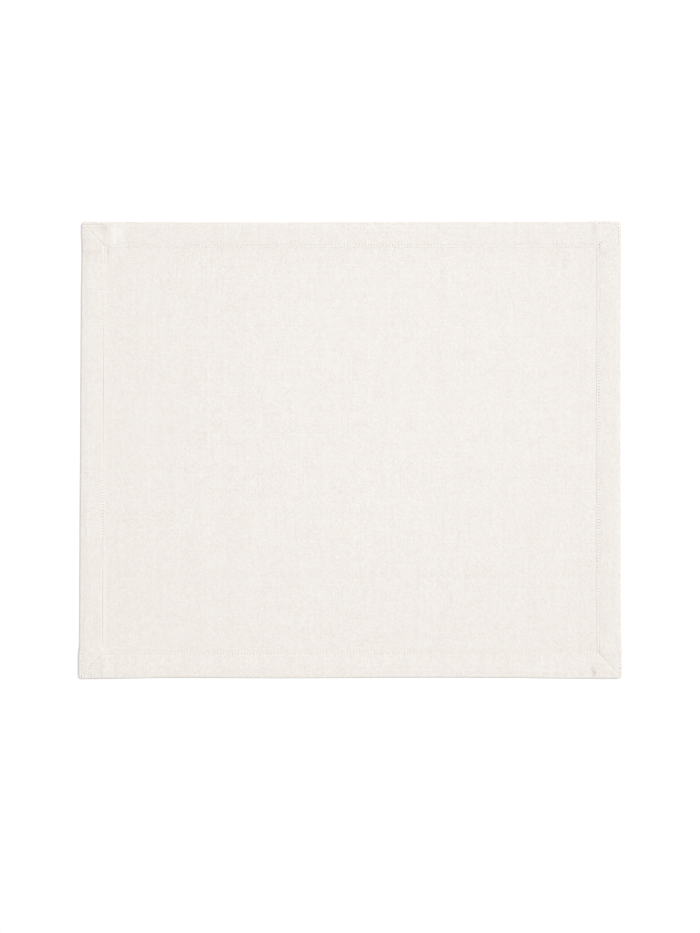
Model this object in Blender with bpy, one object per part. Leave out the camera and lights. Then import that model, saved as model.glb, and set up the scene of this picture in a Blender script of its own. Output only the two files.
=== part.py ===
"""Fabric placemat: one panel of plain-woven cloth with a mitred, double-turned hem, lying flat.

The hem is turned up onto the side that shows, and the underside is flat. X runs along the long
side, Y along the short side and Z up, in metres. The origin is at the middle of the underside.
"""

from collections import namedtuple
import math

import bmesh
import bpy

# Driving sizes
WIDTH = 0.450
DEPTH = 0.380
CLOTH_HEIGHT = 0.0010
HEM_HEIGHT = 0.0018
STITCH_INSET = 0.0187
HEM_DEPTH = 0.0208

HALF_WIDTH = WIDTH / 2
HALF_DEPTH = DEPTH / 2

# The panel's mesh: columns stand close to each corner and far apart between them
CORNER_STATIONS = (0.0016, 0.0045, 0.0090, 0.0140, 0.0200, 0.0270, 0.0360)
STATION_SPACING = 0.0160

# Corners: the outer fold turns on a small radius, the layers stack up, and the mitre lies in a groove
CORNER_RADIUS = 0.0028
CORNER_SQUARE = 0.0225
CORNER_SWELL = 0.0004
SWELL_SOFTNESS = 0.0070
MITRE_GROOVE = 0.0004

# How far in from a side the cloth still follows that side's unevenness
EASE_REACH = 0.0800

# A small distance for telling mesh points apart, and the angle past which shading shows an edge
NEAR = 1e-6
SHARP_ANGLE = 0.9

# The hem's section, from the panel outwards, over the outer fold and under it
SectionRow = namedtuple("SectionRow", "place inset height")
HEM_SECTION = (
    SectionRow("panel beside the hem", HEM_DEPTH + 0.0030, CLOTH_HEIGHT),
    SectionRow("foot of the inner fold", HEM_DEPTH + 0.0001, CLOTH_HEIGHT),
    SectionRow("inner fold", HEM_DEPTH, 0.00115),
    SectionRow("crest of the inner fold", HEM_DEPTH - 0.0007, 0.0014),
    SectionRow("stitch groove", STITCH_INSET, 0.00125),
    SectionRow("beside the stitches", STITCH_INSET - 0.0015, 0.0016),
    SectionRow("inner half of the hem", STITCH_INSET * 0.7, HEM_HEIGHT),
    SectionRow("outer half of the hem", STITCH_INSET * 0.4, HEM_HEIGHT),
    SectionRow("shoulder of the outer fold", 0.0022, HEM_HEIGHT - 0.00005),
    SectionRow("top of the outer fold", 0.0007, 0.0015),
    SectionRow("outer fold", 0.0, 0.0009),
    SectionRow("bottom of the outer fold", 0.0004, 0.00025),
    SectionRow("rim of the underside", 0.0012, 0.0),
)

# Unevenness of each side: how far the outer fold lies out from the straight, at places along it
Ease = namedtuple("Ease", "along out")
LEFT_EASES = (
    Ease(-0.190, 0.0013),
    Ease(-0.173, 0.0013),
    Ease(-0.162, 0.0004),
    Ease(-0.126, 0.0003),
    Ease(-0.076, 0.0000),
    Ease(0.024, -0.0006),
    Ease(0.124, -0.0011),
    Ease(0.174, -0.0017),
    Ease(0.190, -0.0016),
)
RIGHT_EASES = (
    Ease(-0.190, 0.0013),
    Ease(-0.173, 0.0013),
    Ease(-0.150, 0.0009),
    Ease(-0.120, 0.0004),
    Ease(0.060, 0.0002),
    Ease(0.136, 0.0004),
    Ease(0.174, 0.0009),
    Ease(0.190, 0.0005),
)
TOP_EASES = (
    Ease(-0.225, 0.0003),
    Ease(-0.205, -0.0001),
    Ease(-0.190, 0.0001),
    Ease(-0.130, -0.0004),
    Ease(-0.070, -0.0005),
    Ease(0.035, -0.0001),
    Ease(0.140, 0.0000),
    Ease(0.195, 0.0000),
    Ease(0.213, 0.0005),
    Ease(0.225, 0.0005),
)
BOTTOM_EASES = (
    Ease(-0.225, 0.0004),
    Ease(-0.205, 0.0003),
    Ease(-0.145, -0.0005),
    Ease(-0.055, -0.0002),
    Ease(0.080, -0.0007),
    Ease(0.140, -0.0004),
    Ease(0.170, 0.0000),
    Ease(0.213, 0.0005),
    Ease(0.225, 0.0005),
)

# Soft ridges and troughs in the hem: the ends of the turned-in layers beside each corner, and the
# puckers that the sewing left. Each lies around (x, y), with its length turned from the X axis.
Crease = namedtuple("Crease", "place x y turn half_length half_width rise")
CREASES = (
    Crease("layer end, top left, in the top hem", -0.2020, 0.1815, 80.0, 0.0080, 0.0045, 0.00035),
    Crease("layer end, top left, in the left hem", -0.2140, 0.1680, 4.0, 0.0100, 0.0040, 0.00030),
    Crease("layer end, top right, in the top hem", 0.2055, 0.1780, 92.0, 0.0120, 0.0040, 0.00035),
    Crease("layer end, top right, in the right hem", 0.2130, 0.1660, -5.0, 0.0080, 0.0040, 0.00020),
    Crease("layer end, bottom left, in the bottom hem", -0.2045, -0.1815, 96.0, 0.0090, 0.0045, 0.00030),
    Crease("layer end, bottom left, in the left hem", -0.2150, -0.1670, 0.0, 0.0090, 0.0040, 0.00020),
    Crease("layer end, bottom right, in the bottom hem", 0.2045, -0.1830, 65.0, 0.0080, 0.0035, 0.00035),
    Crease("layer end, bottom right, in the right hem", 0.2150, -0.1660, 10.0, 0.0080, 0.0040, 0.00020),
    Crease("full stretch of the right hem", 0.2130, 0.0900, 90.0, 0.0600, 0.0050, 0.00020),
    Crease("full stretch of the right hem, lower", 0.2120, -0.0700, 88.0, 0.0450, 0.0045, 0.00015),
    Crease("slack stretch of the top hem", -0.0600, 0.1800, 0.0, 0.0500, 0.0050, -0.00012),
    Crease("full stretch of the bottom hem", -0.0900, -0.1810, 2.0, 0.0500, 0.0050, 0.00012),
)

# Each side of the mat, with the extra distance that its hem stitching lies outwards
Side = namedtuple("Side", "eases hem_out")
LEFT = Side(LEFT_EASES, -0.0001)
RIGHT = Side(RIGHT_EASES, 0.0011)
TOP = Side(TOP_EASES, -0.0002)
BOTTOM = Side(BOTTOM_EASES, -0.0005)


def clear_scene():
    """Remove every object, so the model starts from nothing."""
    for old in list(bpy.data.objects):
        bpy.data.objects.remove(old, do_unlink=True)


def smooth_step(value):
    """Ease a value between 0 and 1, level at both ends."""
    held = min(max(value, 0.0), 1.0)
    return held * held * (3.0 - 2.0 * held)


def ease_at(eases, along):
    """The outline's unevenness at one place along a side."""
    if along <= eases[0].along:
        return eases[0].out
    for before, after in zip(eases, eases[1:]):
        if along <= after.along:
            share = (along - before.along) / (after.along - before.along)
            return before.out + (after.out - before.out) * smooth_step(share)
    return eases[-1].out


def side_pull(side, along, inset):
    """How far outwards a side draws a point that lies this far in from it."""
    fade = 1.0 - smooth_step((inset - STITCH_INSET) / EASE_REACH)
    hem_share = smooth_step(inset / STITCH_INSET)
    return fade * (ease_at(side.eases, along) + side.hem_out * hem_share)


def share_above_panel(z):
    """0 at the panel's height, rising to 1 at the hem's."""
    return min(max(z - CLOTH_HEIGHT, 0.0) / (HEM_HEIGHT - CLOTH_HEIGHT), 1.0)


def corner_share(x, y):
    """1 inside a corner's square of stacked layers, falling softly to 0 outside it."""
    in_x = HALF_WIDTH - abs(x)
    in_y = HALF_DEPTH - abs(y)
    share_x = 1.0 - smooth_step((in_x - CORNER_SQUARE) / SWELL_SOFTNESS)
    share_y = 1.0 - smooth_step((in_y - CORNER_SQUARE) / SWELL_SOFTNESS)
    return share_x * share_y


def rounded_corner(x, y):
    """Draw a point near an outer corner in, onto the corner's radius."""
    over_x = abs(x) - (HALF_WIDTH - CORNER_RADIUS)
    over_y = abs(y) - (HALF_DEPTH - CORNER_RADIUS)
    if over_x <= 0 or over_y <= 0:
        return x, y
    reach = (over_x**2 + over_y**2) ** 0.5
    shrink = max(over_x, over_y) / reach
    new_x = abs(x) - over_x * (1.0 - shrink)
    new_y = abs(y) - over_y * (1.0 - shrink)
    return (new_x if x > 0 else -new_x), (new_y if y > 0 else -new_y)


def stations(half_length):
    """Places of the mesh columns along a side of the panel, from one corner to the other."""
    panel_half = half_length - HEM_SECTION[0].inset
    clear = panel_half - CORNER_STATIONS[-1]
    count = max(round(2 * clear / STATION_SPACING), 1)
    middle = [clear * (2 * step / count - 1) for step in range(1, count)]
    high = [panel_half - gap for gap in reversed(CORNER_STATIONS)] + [panel_half]
    low = [-place for place in reversed(high)]
    return low + middle + high


def add_panel(mesh):
    """Add the flat middle of the cloth as a grid whose columns stand at the stations."""
    columns = stations(HALF_WIDTH)
    rows = stations(HALF_DEPTH)
    bmesh.ops.create_grid(mesh, x_segments=len(columns) - 1, y_segments=len(rows) - 1, size=1.0)
    for vertex in mesh.verts:
        column = round((vertex.co.x + 1.0) / 2.0 * (len(columns) - 1))
        row = round((vertex.co.y + 1.0) / 2.0 * (len(rows) - 1))
        vertex.co = (columns[column], rows[row], CLOTH_HEIGHT)


def extrude_ring(mesh, rim, row_before, row):
    """Extrude the open rim to the next row of the hem's section and return the new rim."""
    grown = bmesh.ops.extrude_edge_only(mesh, edges=rim)["geom"]
    new_vertices = [item for item in grown if isinstance(item, bmesh.types.BMVert)]
    scale_x = (HALF_WIDTH - row.inset) / (HALF_WIDTH - row_before.inset)
    scale_y = (HALF_DEPTH - row.inset) / (HALF_DEPTH - row_before.inset)
    for vertex in new_vertices:
        vertex.co = (vertex.co.x * scale_x, vertex.co.y * scale_y, row.height)
    return [item for item in grown if isinstance(item, bmesh.types.BMEdge)]


def turn_hem(mesh):
    """Carry the panel's rim through the hem's section, and close the underside."""
    rim = [edge for edge in mesh.edges if edge.is_boundary]
    for row_before, row in zip(HEM_SECTION, HEM_SECTION[1:]):
        extrude_ring(mesh, rim, row_before, row)
        rim = [edge for edge in mesh.edges if edge.is_boundary]
    bmesh.ops.contextual_create(mesh, geom=rim)


def shape_corners(mesh):
    """Raise the stacked layers at the corners and sink the mitres."""
    hem_foot = HEM_SECTION[1].inset
    for vertex in mesh.verts:
        x, y, z = vertex.co
        in_x = HALF_WIDTH - abs(x)
        in_y = HALF_DEPTH - abs(y)
        above = share_above_panel(z)
        z += CORNER_SWELL * corner_share(x, y) * above
        if abs(in_x - in_y) < NEAR and in_x < hem_foot - NEAR:
            z -= MITRE_GROOVE * above
        x, y = rounded_corner(x, y)
        vertex.co = (x, y, z)


def crease_rise(x, y):
    """Height that the soft ridges and troughs add at one place."""
    rise = 0.0
    for crease in CREASES:
        turn = math.radians(crease.turn)
        over_x = x - crease.x
        over_y = y - crease.y
        along = over_x * math.cos(turn) + over_y * math.sin(turn)
        across = over_y * math.cos(turn) - over_x * math.sin(turn)
        spread = (along / crease.half_length) ** 2 + (across / crease.half_width) ** 2
        rise += crease.rise * math.exp(-spread)
    return rise


def crease_hem(mesh):
    """Lay the ridges and troughs into the hem's upper face."""
    for vertex in mesh.verts:
        x, y, z = vertex.co
        vertex.co.z = z + crease_rise(x, y) * share_above_panel(z)


def make_uneven(mesh):
    """Draw the straight outline out and in, as the sewn sides really run."""
    for vertex in mesh.verts:
        x, y, z = vertex.co
        inset_left = HALF_WIDTH + x
        inset_right = HALF_WIDTH - x
        inset_top = HALF_DEPTH - y
        inset_bottom = HALF_DEPTH + y
        new_x = x + side_pull(RIGHT, y, inset_right) - side_pull(LEFT, y, inset_left)
        new_y = y + side_pull(TOP, x, inset_top) - side_pull(BOTTOM, x, inset_bottom)
        vertex.co = (new_x, new_y, z)


def linen_material():
    """Off-white cloth, matt."""
    material = bpy.data.materials.new("off_white_linen")
    material.use_nodes = True
    shader = material.node_tree.nodes["Principled BSDF"]
    shader.inputs["Base Color"].default_value = (0.86, 0.82, 0.77, 1.0)
    shader.inputs["Roughness"].default_value = 0.9
    shader.inputs["Metallic"].default_value = 0.0
    return material


def build_placemat(collection):
    """Model the hemmed cloth as one closed body."""
    mesh = bmesh.new()
    add_panel(mesh)
    turn_hem(mesh)
    shape_corners(mesh)
    crease_hem(mesh)
    make_uneven(mesh)
    bmesh.ops.recalc_face_normals(mesh, faces=mesh.faces)

    data = bpy.data.meshes.new("placemat_cloth")
    mesh.to_mesh(data)
    mesh.free()
    data.materials.append(linen_material())
    data.shade_smooth()
    data.set_sharp_from_angle(angle=SHARP_ANGLE)
    placemat = bpy.data.objects.new("placemat_cloth", data)
    collection.objects.link(placemat)
    return placemat


def main():
    """Build the placemat in a collection of its own."""
    clear_scene()
    collection = bpy.data.collections.new("fabric_placemat")
    bpy.context.scene.collection.children.link(collection)
    build_placemat(collection)


main()
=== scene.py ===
"""Dressed model of a fabric placemat: hemmed linen cloth, its sewing thread, and the light it lies in.

The cloth is one closed mesh. Its middle is a grid, and its hem is a row of rings that run round it and
meet on the mitres, so needle holes, mitres and folds all fall on mesh points. Sizes are in metres, in
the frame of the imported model: X along the long side, Y along the short side and Z up.
"""

from __future__ import annotations

import logging
import math
from dataclasses import dataclass, field
from enum import Enum

import bpy
import numpy as np
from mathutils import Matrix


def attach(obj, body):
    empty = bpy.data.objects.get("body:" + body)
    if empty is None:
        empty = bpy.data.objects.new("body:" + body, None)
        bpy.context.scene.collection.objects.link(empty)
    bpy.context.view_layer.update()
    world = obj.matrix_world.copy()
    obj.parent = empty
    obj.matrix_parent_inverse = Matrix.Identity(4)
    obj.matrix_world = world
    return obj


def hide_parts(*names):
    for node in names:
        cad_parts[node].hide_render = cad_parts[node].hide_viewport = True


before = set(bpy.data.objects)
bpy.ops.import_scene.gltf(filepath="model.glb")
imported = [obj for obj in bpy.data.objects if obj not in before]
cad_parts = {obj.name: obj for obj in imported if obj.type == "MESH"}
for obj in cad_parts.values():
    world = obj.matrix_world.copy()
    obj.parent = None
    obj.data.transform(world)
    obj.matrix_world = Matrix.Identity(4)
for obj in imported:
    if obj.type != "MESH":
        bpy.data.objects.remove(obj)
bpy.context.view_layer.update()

LOG = logging.getLogger("placemat")
NODE = "placemat_cloth"
BODY = "root"
MM = 0.001

# The bobbin thread is pressed flat just above the table
TABLE_GAP = 0.00001

# Smallest length that anything is divided by
TINY = 1e-9

# Seeds of the needle holes' openings and of the stitches' thickness
HOLE_SEED = 3
STITCH_SEED = 5

# Noise nodes give values around this one
NOISE_MEAN = 0.5

# Sockets of a mix node: its share, its low value and its high value
NUMBER_SOCKETS = (0, 2, 3)
COLOUR_SOCKETS = (0, 6, 7)

# Results of a mix node
NUMBER_RESULT = 0
COLOUR_RESULT = 2

Array = np.ndarray


def smooth_step(value: Array) -> Array:
    """Ease values between 0 and 1, level at both ends."""
    held = np.clip(value, 0.0, 1.0)
    return held * held * (3.0 - 2.0 * held)


def bell(value: Array) -> Array:
    """A soft bump: 1 at 0, falling to nothing by about 2."""
    return np.exp(-(np.asarray(value) ** 2))


class Zone(Enum):
    """A stretch of the cloth's skin, which decides where its pattern is read."""

    PANEL = 0
    HEM = 1
    UNDERSIDE = 2


class Skin(Enum):
    """The face of the cloth that a row of stitches lies on."""

    TOP = 1.0
    UNDERSIDE = -1.0


@dataclass(frozen=True)
class Ease:
    """How far the outer fold lies out from the straight, at one place along a side.

    Args:
        along: the place along the side.
        out: distance outwards, below 0 where the fold lies further in.
    """

    along: float
    out: float


@dataclass(frozen=True)
class SideLine:
    """One side of the mat as it was really sewn.

    Args:
        eases: the outer fold's unevenness, in order along the side.
        row_share: how much of that unevenness the hem stitching follows.
        hem_out: extra distance outwards of the hem stitching.
        lip: rise of the inner fold above the panel.
        lip_slope: width over which the inner fold rises.
        painted_crevice_shade: painted shade at the foot of the inner fold, how much darker it is painted
            there.
        opening: how wide the hem stitching's needle holes stand open, 1 for the usual.
        painted_row_light: painted light on the cloth beside the hem stitching, how much paler it is painted.
    """

    eases: tuple[Ease, ...]
    row_share: float
    hem_out: float
    lip: float
    lip_slope: float
    painted_crevice_shade: float
    opening: float
    painted_row_light: float

    def out_at(self, along: Array) -> Array:
        """Read the outer fold's unevenness, eased from each place to the next.

        Args:
            along: places along the side.

        Returns:
            How far out the fold lies there.
        """
        places = np.array([ease.along for ease in self.eases])
        outs = np.array([ease.out for ease in self.eases])
        after = np.clip(np.searchsorted(places, along), 1, len(places) - 1)
        share = (along - places[after - 1]) / (places[after] - places[after - 1])
        return outs[after - 1] + (outs[after] - outs[after - 1]) * smooth_step(share)


@dataclass(frozen=True)
class Crease:
    """A soft ridge or trough around a point, with its length turned from the X axis.

    Args:
        x: its middle along X.
        y: its middle along Y.
        turn: degrees from the X axis to its length.
        half_length: how far it reaches each way along its length.
        half_width: how far it reaches each way across.
        rise: height at its middle, below 0 for a trough.
        tone: painted shade at its middle, how much darker and warmer the cloth is painted there, below 0 for
            painted light.
    """

    x: float
    y: float
    turn: float
    half_length: float
    half_width: float
    rise: float
    tone: float = 0.0

    def strength(self, x: Array, y: Array) -> Array:
        """Say how strongly the crease is felt.

        Args:
            x: places along X on the straight mat.
            y: places along Y on the straight mat.

        Returns:
            1 at its middle, falling to nothing past its length and width.
        """
        turn = math.radians(self.turn)
        along = (x - self.x) * math.cos(turn) + (y - self.y) * math.sin(turn)
        across = (y - self.y) * math.cos(turn) - (x - self.x) * math.sin(turn)
        spread = (along / self.half_length) ** 2 + (across / self.half_width) ** 2
        return np.exp(-spread)

    def height(self, x: Array, y: Array) -> Array:
        """Height that it adds at points of the cloth."""
        return self.rise * self.strength(x, y)


@dataclass(frozen=True)
class Undulation:
    """A gentle unevenness, as a sum of waves that run in seeded directions.

    Args:
        seed: seed of the wave directions and phases.
        length: usual wave length.
        rise: usual height of the waves together.
        waves: number of waves.
        shortest: length of the shortest wave, as a share of the usual one.
        longest: length of the longest wave, as a share of the usual one.
    """

    seed: int
    length: float
    rise: float
    waves: int = 18
    shortest: float = 0.7
    longest: float = 1.6

    def height(self, x: Array, y: Array) -> Array:
        """Add the waves up.

        Args:
            x: places along X on the straight mat.
            y: places along Y on the straight mat.

        Returns:
            Heights of the waves together.
        """
        draw = np.random.default_rng(self.seed)
        turns = draw.uniform(0.0, math.tau, self.waves)
        phases = draw.uniform(0.0, math.tau, self.waves)
        lengths = self.length * draw.uniform(self.shortest, self.longest, self.waves)
        total = np.zeros_like(x)
        for turn, phase, length in zip(turns, phases, lengths):
            run = (x * math.cos(turn) + y * math.sin(turn)) / length
            total += np.cos(math.tau * run + phase)
        return total * self.rise / math.sqrt(self.waves / 2)


LEFT = SideLine(
    (
        Ease(-0.190, 0.0013),
        Ease(-0.173, 0.0013),
        Ease(-0.162, 0.0004),
        Ease(-0.126, 0.0003),
        Ease(-0.076, 0.0000),
        Ease(0.024, -0.0006),
        Ease(0.124, -0.0011),
        Ease(0.168, -0.0017),
        Ease(0.180, -0.0014),
        Ease(0.190, -0.0013),
    ),
    row_share=0.75,
    hem_out=-0.0002,
    lip=0.00012,
    lip_slope=0.0022,
    painted_crevice_shade=0.00,
    opening=1.0,
    painted_row_light=0.12,
)
RIGHT = SideLine(
    (
        Ease(-0.190, 0.0013),
        Ease(-0.173, 0.0013),
        Ease(-0.150, 0.0009),
        Ease(-0.120, 0.0004),
        Ease(0.060, 0.0002),
        Ease(0.136, 0.0004),
        Ease(0.174, 0.0009),
        Ease(0.190, 0.0005),
    ),
    row_share=0.5,
    hem_out=0.00085,
    lip=0.00030,
    lip_slope=0.0008,
    painted_crevice_shade=0.03,
    opening=0.97,
    painted_row_light=0.09,
)
TOP = SideLine(
    (
        Ease(-0.225, 0.0003),
        Ease(-0.205, -0.0001),
        Ease(-0.190, 0.0001),
        Ease(-0.130, -0.0004),
        Ease(-0.070, -0.0005),
        Ease(0.035, -0.0001),
        Ease(0.140, 0.0000),
        Ease(0.192, 0.0000),
        Ease(0.204, 0.0006),
        Ease(0.213, 0.0007),
        Ease(0.220, 0.0003),
        Ease(0.225, 0.0003),
    ),
    row_share=0.1,
    hem_out=-0.00045,
    lip=0.00020,
    lip_slope=0.0008,
    painted_crevice_shade=0.02,
    opening=0.92,
    painted_row_light=0.05,
)
BOTTOM = SideLine(
    (
        Ease(-0.225, 0.0006),
        Ease(-0.205, 0.0004),
        Ease(-0.145, -0.0004),
        Ease(-0.055, -0.0001),
        Ease(0.080, -0.0006),
        Ease(0.140, -0.0003),
        Ease(0.170, 0.0001),
        Ease(0.213, 0.0005),
        Ease(0.225, 0.0005),
    ),
    row_share=0.1,
    hem_out=-0.0013,
    lip=0.00006,
    lip_slope=0.0012,
    painted_crevice_shade=0.05,
    opening=0.97,
    painted_row_light=0.05,
)

# Ridges that the ends of the turned-in layers leave beside each corner, and full and slack stretches
HEM_CREASES = (
    # Layer end, top left, in the top hem
    Crease(-0.2020, 0.1815, 80.0, 0.0080, 0.0045, 0.00035),
    # Layer end, top left, in the left hem
    Crease(-0.2140, 0.1680, 4.0, 0.0100, 0.0040, 0.00030),
    # Layer end, top right, in the top hem
    Crease(0.2055, 0.1780, 92.0, 0.0120, 0.0040, 0.00035),
    # Layer end, top right, in the right hem
    Crease(0.2130, 0.1660, -5.0, 0.0080, 0.0040, 0.00020),
    # Layer end, bottom left, in the bottom hem
    Crease(-0.2045, -0.1815, 96.0, 0.0090, 0.0045, 0.00030),
    # Layer end, bottom left, in the left hem
    Crease(-0.2150, -0.1670, 0.0, 0.0090, 0.0040, 0.00020),
    # Layer end, bottom right, in the bottom hem
    Crease(0.2045, -0.1830, 65.0, 0.0080, 0.0035, 0.00035),
    # Layer end, bottom right, in the right hem
    Crease(0.2150, -0.1660, 10.0, 0.0080, 0.0040, 0.00020),
    # Full stretch of the right hem
    Crease(0.2130, 0.0900, 90.0, 0.0600, 0.0050, 0.00020),
    # Full stretch of the right hem, lower
    Crease(0.2120, -0.0700, 88.0, 0.0450, 0.0045, 0.00015),
    # Slack stretch of the top hem
    Crease(-0.0600, 0.1800, 0.0, 0.0500, 0.0050, -0.00012),
    # Full stretch of the bottom hem
    Crease(-0.0900, -0.1810, 2.0, 0.0500, 0.0050, 0.00012),
)

# Fine creases that the sewing and folding pressed into the cloth, and patches of painted shade and painted
# light where their shading falls
FINE_CREASES = (
    # Painted shade in the top hem, left
    Crease(-0.2075, 0.1858, 5.0, 0.0050, 0.0032, 0.0, 0.085),
    # Its lower end
    Crease(-0.2045, 0.1835, -30.0, 0.0036, 0.0020, -0.00010, 0.045),
    # Painted light beside it
    Crease(-0.1955, 0.1805, 90.0, 0.0085, 0.0058, 0.0, -0.045),
    # Trough across the left hem, top, with painted shade
    Crease(-0.2150, 0.1645, 2.0, 0.0110, 0.0016, -0.00008, 0.030),
    # Shade along the left edge, top
    Crease(-0.2205, 0.1740, 88.0, 0.0085, 0.0030, 0.0, 0.016),
    # Shade below the mitre, top left
    Crease(-0.2150, 0.1745, -40.0, 0.0080, 0.0034, -0.00010, 0.020),
    # Short pinch inside the top left corner
    Crease(-0.2037, 0.1657, 88.0, 0.0034, 0.0007, -0.00018, 0.180),
    # Slanting, inside the top left corner
    Crease(-0.1930, 0.1570, -62.0, 0.0070, 0.0014, -0.00012, 0.012),
    # Beside it
    Crease(-0.1895, 0.1480, -58.0, 0.0060, 0.0013, 0.00010, 0.0),
    # Trough in the top hem, right, with painted shade
    Crease(0.2028, 0.1860, 92.0, 0.0046, 0.0020, -0.00012, 0.060),
    # Its lower end
    Crease(0.2024, 0.1760, 90.0, 0.0060, 0.0018, -0.00006, 0.018),
    # Along the right hem, below the corner
    Crease(0.2022, 0.1590, 90.0, 0.0070, 0.0010, -0.00010, 0.012),
    # Short slant beside it
    Crease(0.2008, 0.1565, -52.0, 0.0022, 0.0007, -0.00012, 0.035),
    # Soft spot in the right hem, top
    Crease(0.2110, 0.1650, 0.0, 0.0030, 0.0020, -0.00006, 0.022),
    # Trough in the bottom hem, left, with painted shade
    Crease(-0.2070, -0.1812, 86.0, 0.0052, 0.0016, -0.00010, 0.038),
    # Slant beside it
    Crease(-0.1955, -0.1815, -50.0, 0.0050, 0.0014, -0.00008, 0.022),
    # Painted shade at the edge beside it
    Crease(-0.1938, -0.1868, 20.0, 0.0022, 0.0012, 0.0, 0.030),
    # Mottled stretch of the left hem, bottom
    Crease(-0.2120, -0.1540, 90.0, 0.0090, 0.0035, -0.00006, 0.022),
    # Pinch in the bottom hem, right
    Crease(0.2014, -0.1850, -66.0, 0.0036, 0.0009, -0.00040, 0.270),
    # Crumple beside the pinch
    Crease(0.2030, -0.1825, -60.0, 0.0040, 0.0022, -0.00010, 0.030),
    # Slant at the mitre, bottom right
    Crease(0.2062, -0.1785, -52.0, 0.0034, 0.0010, -0.00008, 0.020),
    # Soft stretch of the right hem, bottom
    Crease(0.2205, -0.1650, 88.0, 0.0060, 0.0024, -0.00006, 0.022),
)


@dataclass(frozen=True)
class Corner:
    """One mitred corner as it was really sewn.

    Args:
        side_x: 1 at the right, -1 at the left.
        side_y: 1 at the top, -1 at the bottom.
        opening: how wide the mitre's needle holes stand open, 0 for closed and 1 for the usual.
        sunk: how deep the mitre's thread lies under the surface.
        groove: depth of the mitre's groove.
        lap: step by which the long side's half stands over the short side's, below 0 for the other.
        shift: how far the mitre's inner end lies towards the short side.
        seam_painted_shade: painted shade on the mitre's line, below 0 for painted light.
        pale: painted light on a line along the mitre's short side, how much paler it is painted.
        short_painted_shade: painted shade on the short side's half, below 0 for painted light.
        long_painted_shade: painted shade on the long side's half, below 0 for painted light.
    """

    side_x: int
    side_y: int
    opening: float
    sunk: float
    groove: float
    lap: float
    shift: float
    seam_painted_shade: float
    pale: float
    short_painted_shade: float
    long_painted_shade: float

    def holds(self, x: Array, y: Array) -> Array:
        """Whether points lie in this corner's quarter of the mat."""
        return (np.sign(x) == self.side_x) & (np.sign(y) == self.side_y)


# Painted shade and painted light on the corners: stacked layers let less light through, so most corners'
# halves are painted a little darker and warmer, and the mitre lines and the lines beside them are painted
# darker or paler
CORNERS = (
    Corner(
        side_x=-1,
        side_y=1,
        opening=0.0,
        sunk=0.00040,
        groove=0.00028,
        lap=-0.00004,
        shift=0.0009,
        seam_painted_shade=0.05,
        pale=0.07,
        short_painted_shade=-0.010,
        long_painted_shade=-0.012,
    ),
    Corner(
        side_x=1,
        side_y=1,
        opening=1.04,
        sunk=0.0,
        groove=0.00003,
        lap=0.00003,
        shift=0.0,
        seam_painted_shade=-0.12,
        pale=0.0,
        short_painted_shade=0.0,
        long_painted_shade=0.0,
    ),
    Corner(
        side_x=-1,
        side_y=-1,
        opening=1.04,
        sunk=0.0,
        groove=0.00006,
        lap=0.00006,
        shift=0.0,
        seam_painted_shade=-0.12,
        pale=0.02,
        short_painted_shade=0.008,
        long_painted_shade=0.002,
    ),
    Corner(
        side_x=1,
        side_y=-1,
        opening=0.73,
        sunk=0.00030,
        groove=0.00024,
        lap=0.00010,
        shift=0.0,
        seam_painted_shade=0.04,
        pale=0.0,
        short_painted_shade=0.004,
        long_painted_shade=0.0,
    ),
)


@dataclass(frozen=True)
class Fold:
    """The hem's thickness and folds, in section.

    Args:
        depth: inner fold of the hem, in from the outer fold.
        stitch_inset: hem stitching, in from the outer fold.
        edge_inset: edge stitching in the corners, in from the outer fold.
        cloth: height of one layer.
        hem: height of the three layers of the hem.
        groove: depth of the stitch groove.
        groove_half: half width of the stitch groove.
        pillow: width over which the hem swells beside its stitching.
        roll: width of the outer fold's rounding.
        shoulder: how far the hem falls towards the outer fold, before its rounding.
        shoulder_width: width over which it falls.
        waist: height at which the outer fold stands out furthest.
        lip_start: how far inside the inner fold the cloth starts to rise.
    """

    depth: float = 0.0208
    stitch_inset: float = 0.0187
    edge_inset: float = 0.0022
    cloth: float = 0.0010
    hem: float = 0.0018
    groove: float = 0.00012
    groove_half: float = 0.0006
    pillow: float = 0.0150
    roll: float = 0.0014
    shoulder: float = 0.0003
    shoulder_width: float = 0.0060
    waist: float = 0.0009
    lip_start: float = 0.0003

    def top(self, inset: Array, lip: Array, lip_slope: Array) -> Array:
        """Height of the upper skin, without the roll.

        Args:
            inset: distances in from the outer fold.
            lip: rise of the inner fold there.
            lip_slope: width over which the inner fold rises there.

        Returns:
            Heights above the table.
        """
        risen = lip * smooth_step((self.depth + self.lip_start - inset) / lip_slope)
        swell = self.hem - self.cloth - lip
        share = np.clip((self.depth - inset) / self.pillow, 0.0, 1.0)
        pillow = swell * np.sin(share * math.pi / 2)
        groove = self.groove * bell((inset - self.stitch_inset) / self.groove_half)
        fall = self.shoulder * smooth_step((self.shoulder_width - inset) / self.shoulder_width)
        return self.cloth + risen + pillow - groove - fall


@dataclass(frozen=True)
class SeamRow:
    """One straight row of stitches on the straight mat.

    Args:
        holes: the needle holes' places, in order, as rows of x and y.
        opening: how wide its needle holes stand open, 0 for closed and 1 for the usual.
        sunk: how deep its thread lies under the cloth's surface.
    """

    holes: Array
    opening: float
    sunk: float = 0.0


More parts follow.
